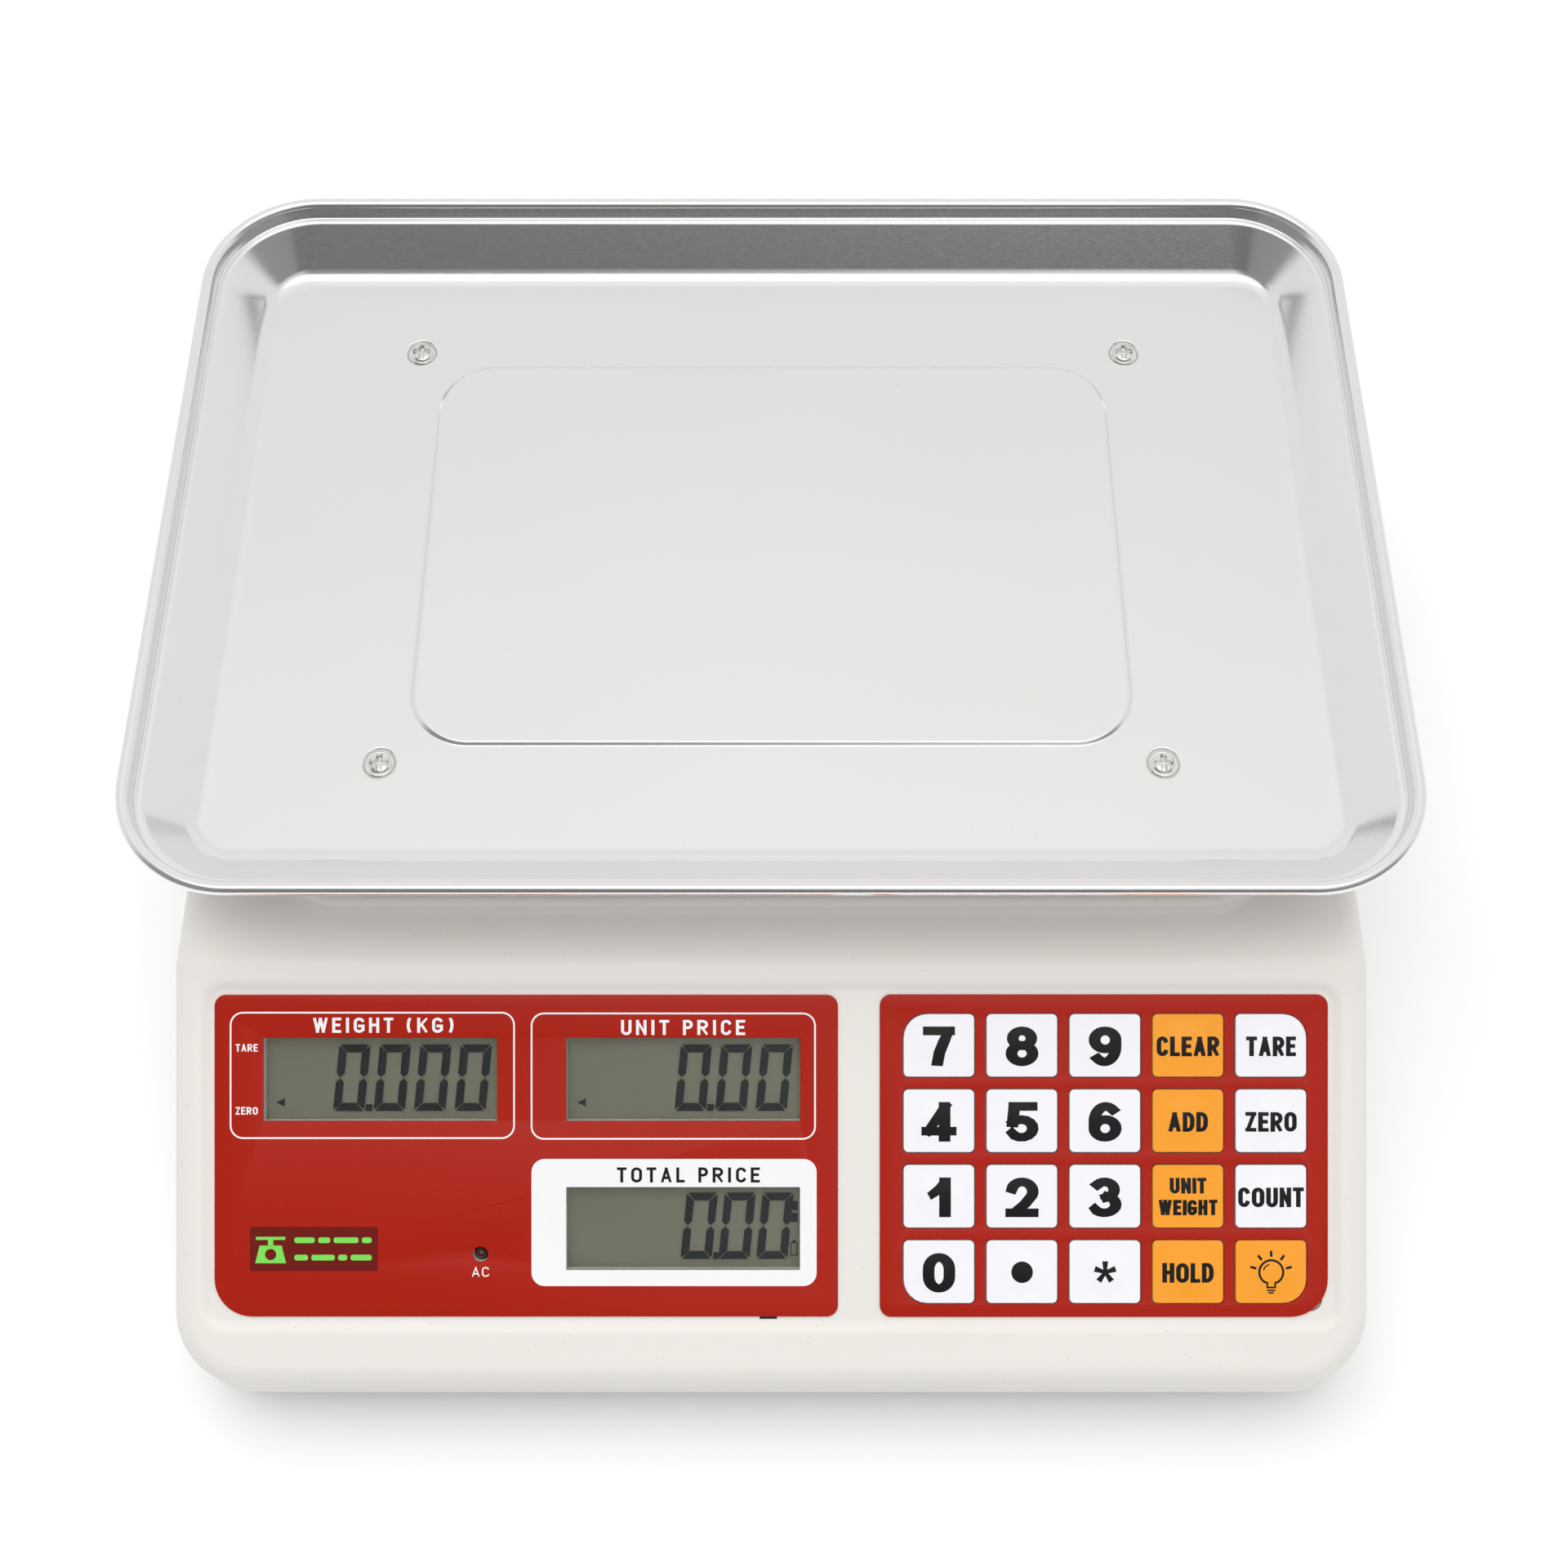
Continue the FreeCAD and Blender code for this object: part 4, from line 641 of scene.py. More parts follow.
STEM = ((0.0, 0.0), (0.0, 1.0))
BOWL = [(0.0, 1.0), (0.5, 1.0)] + arc((0.5, 0.74), (0.5, 0.26), 90, -90) + [(0.0, 0.48)]
GLYPHS: dict[str, Glyph] = {
    "A": glyph(0.72, [(0.0, 0.0), (0.5, 1.0)], [(0.5, 1.0), (1.0, 0.0)], [(0.24, 0.27), (0.76, 0.27)]),
    "C": glyph(0.68, arc((0.5, 0.74), (0.5, 0.26), 22, 180) + arc((0.5, 0.26), (0.5, 0.26), 180, 338)),
    "D": glyph(0.68, [(0.0, 0.0), (0.0, 1.0), (0.4, 1.0)] + arc((0.4, 0.62), (0.6, 0.38), 90, 0)
               + arc((0.4, 0.38), (0.6, 0.38), 0, -90) + [(0.0, 0.0)]),
    "E": glyph(0.6, [(1.0, 1.0), (0.0, 1.0), (0.0, 0.0), (1.0, 0.0)], [(0.0, 0.52), (0.85, 0.52)]),
    "G": glyph(0.72, arc((0.5, 0.74), (0.5, 0.26), 28, 180) + arc((0.5, 0.26), (0.5, 0.26), 180, 300)
               + [(1.0, 0.14), (1.0, 0.44), (0.56, 0.44)]),
    "H": glyph(0.68, STEM, [(1.0, 0.0), (1.0, 1.0)], [(0.0, 0.52), (1.0, 0.52)]),
    "I": glyph(0.24, [(0.5, 0.0), (0.5, 1.0)]),
    "K": glyph(0.7, STEM, [(1.0, 1.0), (0.0, 0.36)], [(0.38, 0.56), (1.0, 0.0)]),
    "L": glyph(0.56, [(0.0, 1.0), (0.0, 0.0), (1.0, 0.0)]),
    "N": glyph(0.68, STEM, [(0.0, 1.0), (1.0, 0.0)], [(1.0, 0.0), (1.0, 1.0)]),
    "O": glyph(0.72, oval(0.27)),
    "P": glyph(0.64, STEM, BOWL),
    "R": glyph(0.7, STEM, BOWL, [(0.45, 0.46), (1.0, 0.0)]),
    "T": glyph(0.64, [(0.0, 1.0), (1.0, 1.0)], [(0.5, 0.0), (0.5, 1.0)]),
    "U": glyph(0.68, [(0.0, 1.0), (0.0, 0.26)] + arc((0.5, 0.26), (0.5, 0.26), 180, 360) + [(1.0, 1.0)]),
    "W": glyph(0.98, [(0.0, 1.0), (0.25, 0.0)], [(0.25, 0.0), (0.5, 1.0)], [(0.5, 1.0), (0.75, 0.0)],
               [(0.75, 0.0), (1.0, 1.0)]),
    "Z": glyph(0.62, [(0.0, 1.0), (1.0, 1.0)], [(1.0, 1.0), (0.0, 0.0)], [(0.0, 0.0), (1.0, 0.0)]),
    "(": glyph(0.4, arc((1.15, 0.5), (1.15, 0.62), 128, 232)),
    ")": glyph(0.4, arc((-0.15, 0.5), (1.15, 0.62), 52, -52)),
    " ": glyph(0.3),
    "0": glyph(0.82, oval(0.38)),
    "1": glyph(0.6, [(1.0, 0.0), (1.0, 1.0)], [(1.0, 1.0), (0.62, 0.79), (-0.1, 0.62)]),
    "2": glyph(0.82, arc((0.5, 0.69), (0.5, 0.31), 165, -25) + [(0.62, 0.28), (0.18, 0.02)],
               [(0.0, 0.0), (1.0, 0.0)]),
    "3": glyph(0.82, arc((0.48, 0.75), (0.44, 0.25), 140, -80), arc((0.46, 0.27), (0.54, 0.27), 75, -150)),
    "4": glyph(0.88, [(1.0, 0.2), (0.0, 0.2)], [(0.0, 0.2), (0.74, 1.0)], [(0.74, 1.0), (0.74, 0.0)]),
    "5": glyph(0.82, [(0.95, 1.0), (0.14, 1.0)], [(0.14, 1.0), (0.06, 0.47)],
               arc((0.47, 0.29), (0.53, 0.29), 140, -150)),
    "6": glyph(0.82, arc((0.53, 0.5), (0.53, 0.5), 52, 180), arc((0.5, 0.29), (0.5, 0.29), 0, 360, 24)),
    "7": glyph(0.82, [(0.0, 1.0), (1.0, 1.0)], [(1.0, 1.0), (0.74, 0.66), (0.52, 0.3), (0.44, 0.0)]),
    "8": glyph(0.82, arc((0.5, 0.76), (0.44, 0.24), 0, 360, 24), arc((0.5, 0.27), (0.5, 0.27), 0, 360, 24)),
    "9": glyph(0.82, arc((0.47, 0.5), (0.53, 0.5), 232, 360), arc((0.5, 0.71), (0.5, 0.29), 0, 360, 24)),
}


@dataclass(frozen=True)
class Lettering:
    """Plain block letters drawn with a broad pen: upright strokes may be thicker than level ones."""

    height: float
    pen: Point
    gap: float = 0.12

    def widths(self, text: str) -> list[float]:
        """Widths of the letters before they are fitted, in heights."""
        return [GLYPHS[letter].width for letter in text]

    def edges(self, text: str, width: float) -> list[tuple[Loop, Loop, bool]]:
        """Edges of every pen stroke in a word of a given width, centred on the origin.

        Args:
            text: The word.
            width: Its full width.

        Returns:
            Both edges of each stroke, and whether it is a closed ring.
        """
        widths = self.widths(text)
        total = sum(widths) + self.gap * (len(text) - 1)
        scale = width / total
        left = -width / 2
        strokes: list[tuple[Loop, Loop, bool]] = []
        for letter, share in zip(text, widths):
            size = (max(share * scale, self.pen[0]), self.height)
            for stroke in GLYPHS[letter].strokes:
                strokes.append(self.stroke(stroke, left, size))
            left += (share + self.gap) * scale
        return strokes

    def stroke(self, points: Sequence[Point], left: float, size: Point) -> tuple[Loop, Loop, bool]:
        """Edges of one pen stroke in a letter's box.

        Args:
            points: Middle line of the stroke, in the unit square.
            left: Left edge of the letter.
            size: Width and height of the letter.

        Returns:
            Both edges, and whether the stroke is a closed ring.
        """
        squash = self.pen[1] / self.pen[0]
        half = self.pen[1] / 2
        span = (size[0] - self.pen[0], size[1] - self.pen[1])
        line: list[Vector] = []
        for x, y in points:
            point = Vector(((self.pen[0] / 2 + x * span[0]) * squash, half + y * span[1]))
            if not line or (point - line[-1]).length > TINY:
                line.append(point)
        ring = (line[0] - line[-1]).length < TINY
        if ring:
            line = line[:-1]
        else:
            line[0] = line[0] + (line[0] - line[1]).normalized() * half
            line[-1] = line[-1] + (line[-1] - line[-2]).normalized() * half
        sides: tuple[Loop, Loop] = ([], [])
        count = len(line)
        for number, point in enumerate(line):
            before = point - line[number - 1] if ring or number else line[1] - point
            after = line[(number + 1) % count] - point if ring or number < count - 1 else point - line[-2]
            across = [Vector((-way.y, way.x)).normalized() for way in (before, after)]
            mitre = (across[0] + across[1]).normalized()
            reach = half / max(mitre.dot(across[0]), 0.3)
            for side, sign in zip(sides, (1, -1)):
                spot = point + mitre * reach * sign
                side.append(self.boxed(spot.x / squash, spot.y, left, size))
        return sides[0], sides[1], ring

    def boxed(self, x: float, y: float, left: float, size: Point) -> Point:
        """Holds a point inside the letter's box and centres it on the line."""
        return left + min(max(x, 0.0), size[0]), min(max(y, 0.0), size[1]) - size[1] / 2

    def mesh(self, text: str, width: float, low: float, high: float) -> bpy.types.Mesh:
        """Mesh of a word, centred on the origin.

        Args:
            text: The word.
            width: Its full width.
            low: Height of its underside.
            high: Height of its face.

        Returns:
            The mesh.
        """
        work = bmesh.new()
        for number, (first, second, ring) in enumerate(self.edges(text, width)):
            top = high + (number % 3) * STAGGER
            rows = [
                [work.verts.new((x, y, level)) for x, y in edge]
                for edge, level in ((first, low), (second, low), (second, top), (first, top))
            ]
            count = len(first)
            for step in range(count if ring else count - 1):
                after = (step + 1) % count
                for row, beside in zip(rows, rows[1:] + rows[:1]):
                    work.faces.new((row[step], beside[step], beside[after], row[after]))
            if not ring:
                work.faces.new([row[0] for row in rows])
                work.faces.new([row[-1] for row in rows])
        bmesh.ops.recalc_face_normals(work, faces=work.faces)
        data = bpy.data.meshes.new(text)
        work.to_mesh(data)
        work.free()
        return data


# ------------------------------------------------------------------ tray
@dataclass
class Tray:
    """Pressed stainless tray with its screws and legs."""

    sheet: float = 0.8 * MM
    bead: float = 3.8 * MM
    ledge: float = 3.9 * MM
    rim_rise: float = 3.4 * MM
    rim_fold: float = 0.6 * MM
    roll_start: float = 0.12
    wall_run: float = 11.0 * MM
    depth: float = 18.0 * MM
    corner: float = 32.0 * MM
    floor_corner: float = 11.0 * MM
    fold: float = 7.2 * MM
    lip: float = 1.6 * MM
    arc_steps: int = 6
    corner_steps: int = 22
    emboss: Point = (199.0 * MM, 129.0 * MM)
    emboss_corner: float = 17.0 * MM
    emboss_rise: float = 0.75 * MM
    emboss_slope: float = 1.5 * MM
    dimple: float = 4.8 * MM
    dimple_flat: float = 3.8 * MM
    dimple_depth: float = 1.0 * MM
    margin: float = 0.5 * MM
    screw_head: float = 3.3 * MM
    screw_rise: float = 2.0 * MM
    steel: Steel = Steel("satin_stainless", (0.90, 0.89, 0.88), 0.17, 2400.0, 4.0, 0.0000006, 0.97)
    bright: Steel = Steel("bright_screw", (0.86, 0.85, 0.83), 0.13, 3000.0, 1.0)
    leg: Plastic = Plastic("leg_plastic", srgb(38, 38, 40), 0.85, 0.5)

    def __post_init__(self) -> None:
        """Takes the tray's place from the frame."""
        low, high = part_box("weighing_pan")
        self.size = (high.x - low.x, high.y - low.y)
        self.mid = ((high.x + low.x) / 2, (high.y + low.y) / 2)
        self.rim_top = high.z
        self.floor = self.rim_top - self.depth
        low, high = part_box("pan_screws")
        reach_x = (high.x - low.x) / 2 - self.screw_head
        reach_y = (high.y - low.y) / 2 - self.screw_head
        self.screws = [
            (self.mid[0] + side_x * reach_x, self.mid[1] + side_y * reach_y)
            for side_x in (-1, 1) for side_y in (-1, 1)
        ]

    def corner_at(self, inset: float) -> float:
        """Corner radius of the sheet at a distance in from the rim's edge."""
        start = self.bead / 2 + self.ledge
        if inset <= start:
            return self.corner - inset
        share = (inset - start) / self.wall_run
        wide = self.corner - start
        return max(wide + (self.floor_corner - wide) * share, 4 * MM)

    def arc(self, centre: Point, radius: float, start: float, end: float) -> list[Point]:
        """Points of an arc in the section, as (inset, height)."""
        return [
            (
                centre[0] + radius * math.cos(start + (end - start) * step / self.arc_steps),
                centre[1] + radius * math.sin(start + (end - start) * step / self.arc_steps),
            )
            for step in range(self.arc_steps + 1)
        ]

    def face(self, grow: float) -> list[Point]:
        """Section of one face of the sheet, from the floor out to the bead.

        Args:
            grow: 0 for the inner face, and the sheet's thickness for the outer one.

        Returns:
            Points as (inset, height).
        """
        rise = self.depth - self.bead / 2 - self.rim_rise
        lean = math.atan2(rise, self.wall_run)
        start = self.bead / 2 + self.ledge
        fold = self.fold + grow
        lip = self.lip - grow * 0.5
        foot = start + self.wall_run - grow * math.tan(lean / 2)
        floor = self.floor - grow
        back = fold * math.tan(lean / 2)
        points = self.arc((foot + back, floor + fold), fold, -math.pi / 2, -math.pi / 2 - lean)
        top = start - grow * math.tan(lean / 2)
        ledge = self.rim_top - self.bead / 2 - self.rim_rise
        back = lip * math.tan(lean / 2)
        points += self.arc((top - back, ledge - grow - lip), lip, math.pi / 2 - lean, math.pi / 2)
        bend = (self.bead + self.rim_fold, ledge + self.rim_fold)
        points += self.arc(bend, self.rim_fold + grow, -math.pi / 2, -math.pi)
        return points

    def rings(self) -> list[tuple[float, float]]:
        """Closed section of the sheet and its rolled rim, from the inner face to the outer."""
        inner = self.face(0.0)
        outer = self.face(self.sheet)
        radius = self.bead / 2
        centre = (radius, self.rim_top - radius)
        begin = math.asin(self.roll_start)
        close = math.acos(1 - self.sheet / radius)
        steps = 4 * self.arc_steps
        roll = []
        for step in range(steps + 1):
            turn = begin + (2 * math.pi - begin - close) * step / steps
            roll.append((centre[0] + radius * math.cos(turn), centre[1] + radius * math.sin(turn)))
        return inner + roll + outer[::-1]

    def ring(self, work: bmesh.types.BMesh, inset: float, height: float) -> list[bmesh.types.BMVert]:
        """Adds one level outline of the tray."""
        loop = rounded(
            self.size[0] - 2 * inset, self.size[1] - 2 * inset, self.corner_at(inset),
            self.corner_steps, self.mid,
        )
        return [work.verts.new((x, y, height)) for x, y in loop]

    def floor_face(self, work: bmesh.types.BMesh, drop: float) -> None:
        """Adds one face of the floor: flat, embossed panel and screw dimples.

        Args:
            work: Mesh that it is added to.
            drop: 0 for the upper face, and the sheet's thickness for the lower one.
        """
        inset = self.face(drop)[0][0]
        level = self.floor - drop
        edges = [
            rounded(
                self.size[0] - 2 * (inset + more), self.size[1] - 2 * (inset + more),
                self.corner_at(inset) - more, self.corner_steps, self.mid,
            )
            for more in (0.0, self.margin)
        ]
        wide = [
            rounded(
                self.emboss[0] + 2 * more, self.emboss[1] + 2 * more, self.emboss_corner + more,
                self.corner_steps, self.mid,
            )
            for more in (self.margin, 0.0)
        ]
        cups = [[circle(self.dimple + drop + more, at) for more in (self.margin, 0.0)] for at in self.screws]
        plate = flat_mesh([edges[1], wide[0]] + [cup[0] for cup in cups], level, level)
        work.from_mesh(plate)
        bpy.data.meshes.remove(plate)
        for first, second in [edges, wide] + cups:
            rings = [[work.verts.new((x, y, level)) for x, y in loop] for loop in (first, second)]
            self.join(work, *rings)
        self.step_up(work, wide[1], level)
        for at, cup in zip(self.screws, cups):
            self.dish(work, at, cup[1], level, drop)

    def step_up(self, work: bmesh.types.BMesh, wide: Loop, level: float) -> None:
        """Adds the rounded step of the embossed panel and the panel itself."""
        before = [work.verts.new((x, y, level)) for x, y in wide]
        steps = [(step / 6, 0.0) for step in range(1, 7)] + [(1.0, self.margin)]
        for share, more in steps:
            inset = 2 * (self.emboss_slope * share + more)
            rise = self.emboss_rise * (1 - math.cos(math.pi * share)) / 2
            loop = rounded(
                self.emboss[0] - inset, self.emboss[1] - inset,
                self.emboss_corner - inset / 2, self.corner_steps, self.mid,
            )
            after = [work.verts.new((x, y, level + rise)) for x, y in loop]
            self.join(work, before, after)
            before = after
        work.faces.new(before)

    def dish(self, work: bmesh.types.BMesh, at: Point, cup: Loop, level: float, drop: float) -> None:
        """Adds one screw dimple with a softened brim."""
        before = [work.verts.new((x, y, level)) for x, y in cup]
        steps = [(step / 5, 0.0) for step in range(1, 6)] + [(1.0, self.margin)]
        for share, more in steps:
            radius = self.dimple + (self.dimple_flat - self.dimple) * share + drop - more
            fall = self.dimple_depth * (1 - math.cos(math.pi * share)) / 2
            after = [work.verts.new((x, y, level - fall)) for x, y in circle(radius, at)]
            self.join(work, before, after)
            before = after
        work.faces.new(before)

    @staticmethod
    def join(
        work: bmesh.types.BMesh, first: Sequence[bmesh.types.BMVert], second: Sequence[bmesh.types.BMVert],
    ) -> None:
        """Adds the band of faces between two rings."""
        count = len(first)
        for number in range(count):
            after = (number + 1) % count
            if first[number].co != first[after].co or second[number].co != second[after].co:
                work.faces.new((first[number], first[after], second[after], second[number]))

    def build(self) -> None:
        """Builds the tray, its screws and its legs."""
        work = bmesh.new()
        before = None
        for inset, height in self.rings():
            after = self.ring(work, inset, height)
            if before:
                self.join(work, before, after)
            before = after
        self.floor_face(work, 0.0)
        self.floor_face(work, self.sheet)
        tray = dress(piece_of("tray", work, 40.0), self.steel.make())
        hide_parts("weighing_pan")
        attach(tray, "pan")
        self.build_screws()
        dress_node("pan_legs", self.leg.make())

    def build_screws(self) -> None:
        """Builds the four domed heads with their cross recesses, and their shanks."""
        work = bmesh.new()
        seat = self.floor - self.dimple_depth
        shank_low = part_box("pan_screws")[0].z
        for at in self.screws:
            self.screw(work, at, seat, shank_low)
        screws = dress(piece_of("tray_screws", work, 35.0), self.bright.make())
        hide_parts("pan_screws")
        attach(screws, "pan")

    def screw(self, work: bmesh.types.BMesh, at: Point, seat: float, low: float) -> None:
        """Adds one screw: a domed head whose middle sinks into a cross."""
        rings = 14
        sides = 64
        dome = []
        for ring in range(1, rings + 1):
            share = ring / rings
            radius = self.screw_head * math.sin(share * math.pi / 2)
            height = self.screw_rise * (0.35 + 0.65 * math.cos(share * math.pi / 2))
            row = []
            for side in range(sides):
                turn = 2 * math.pi * side / sides
                x, y = radius * math.cos(turn), radius * math.sin(turn)
                row.append(work.verts.new((at[0] + x, at[1] + y, seat + height - self.cross(x, y))))
            dome.append(row)
        foot = [work.verts.new((vertex.co.x, vertex.co.y, seat)) for vertex in dome[-1]]
        shank = self.screw_head * 0.6
        neck = [
            work.verts.new((at[0] + shank * math.cos(2 * math.pi * side / sides),
                            at[1] + shank * math.sin(2 * math.pi * side / sides), seat))
            for side in range(sides)
        ]
        end = [work.verts.new((vertex.co.x, vertex.co.y, low)) for vertex in neck]
        for first, second in zip(dome + [foot, neck], dome[1:] + [foot, neck, end]):
            self.join(work, first, second)
        work.faces.new(dome[0])
        work.faces.new(end)

    def cross(self, x: float, y: float) -> float:
        """Depth of the cross recess at a point of the head."""
        arm, half = self.screw_head * 0.62, self.screw_head * 0.15
        depth = 0.0
        for along, across in ((x, y), (y, x)):
            side = max(0.0, 1 - max(0.0, abs(across) - half) / (0.25 * MM))
            end = max(0.0, 1 - max(0.0, abs(along) - arm) / (0.5 * MM))
            depth = max(depth, min(side, end))
        return depth * 1.1 * MM


# ------------------------------------------------------------------ displays
class Ink(Enum):
    """Printed and moulded colours of the panel."""

    RED = srgb(170, 30, 12)
    DARK_RED = srgb(112, 22, 16)
    WHITE = srgb(246, 246, 248)
    ORANGE = srgb(250, 164, 34)
    BLACK = srgb(22, 22, 24)
    GREEN = srgb(126, 224, 92)
    LCD = srgb(133, 133, 116)
    SEGMENT = srgb(34, 36, 40)


def film_finishes() -> dict[Ink, bpy.types.Material]:
    """Film in each of the printed colours."""
    matt = {Ink.LCD: (0.35, 0.96), Ink.SEGMENT: (0.55, 0.9)}
    made = {}
    for ink in Ink:
        roughness, shade = matt.get(ink, (0.3, 0.95))
        made[ink] = Film(f"film_{ink.name.lower()}", ink.value, roughness, shade).make()
    return made


FILMS = film_finishes()


@dataclass
class Readout:
    """One liquid-crystal display: its digits and marks."""

    name: str
    digits: int
    right: float = 20.0 * MM
    pitch: float = 10.8 * MM
    pointer: bool = True
    battery: bool = False


@dataclass
class DigitShape:
    """Seven-segment figure of a liquid-crystal display."""

    height: float = 17.7 * MM
    width: float = 8.3 * MM
    stroke: float = 2.1 * MM
    gap: float = 0.14 * MM
    crisp: float = 0.75
    slant: float = math.radians(5.5)
    lift: float = 0.35 * MM
    thickness: float = 0.04 * MM

    def bar(self, start: Point, end: Point, outer: int, square: tuple[bool, bool]) -> Loop:
        """Outline of one segment, pointed in the middle of the figure and mitred at its corners.

        Args:
            start: Where its middle line starts.
            end: Where its middle line ends.
            outer: 1 where the figure's outside is on the left of that line, otherwise -1.
            square: Whether the start and the end are corners of the figure.

        Returns:
            The outline.
        """
        dx, dy = end[0] - start[0], end[1] - start[1]
        length = math.hypot(dx, dy)
        ux, uy = dx / length, dy / length
        half = self.stroke / 2
        cuts = {
            (side, place): self.gap + (half if side != outer or not corner else -self.crisp * half)
            for side in (1, -1) for place, corner in enumerate(square)
        }
        corners = (
            (self.gap, 0.0), (cuts[1, 0], half), (length - cuts[1, 1], half),
            (length - self.gap, 0.0), (length - cuts[-1, 1], -half), (cuts[-1, 0], -half),
        )
        return [
            (start[0] + ux * along - uy * across, start[1] + uy * along + ux * across)
            for along, across in corners
        ]

    def lean(self, loop: Loop) -> Loop:
        """Slants an outline."""
        return [(x + y * math.tan(self.slant), y) for x, y in loop]

    def zero(self, left: float) -> list[Loop]:
        """Outlines of the figure nought."""
        half = self.stroke / 2
        west, east = left + half, left + self.width - half
        top, low = self.height / 2 - half, -self.height / 2 + half
        lines = (
            ((west, top), (east, top), 1, (True, True)), ((west, low), (east, low), -1, (True, True)),
            ((west, 0), (west, top), 1, (False, True)), ((east, 0), (east, top), -1, (False, True)),
            ((west, low), (west, 0), 1, (True, False)), ((east, low), (east, 0), -1, (True, False)),
        )
        return [self.lean(self.bar(*line)) for line in lines]

    def dot(self, left: float) -> Loop:
        """Outline of the point that follows a figure."""
        half = self.stroke * 0.42
        x = left + self.width + 1.2 * MM
        y = -self.height / 2 + half
        corners = ((-half, -half), (half, -half), (half, half), (-half, half))
        return self.lean([(x + dx, y + dy) for dx, dy in corners])

    def figures(self, readout: Readout) -> list[Loop]:
        """Outlines of a readout's noughts, with a point after the first."""
        loops: list[Loop] = []
        for number in range(readout.digits):
            left = readout.right - (readout.digits - 1 - number) * readout.pitch
            loops += self.zero(left)
            if number == 0:
                loops.append(self.dot(left))
        return loops


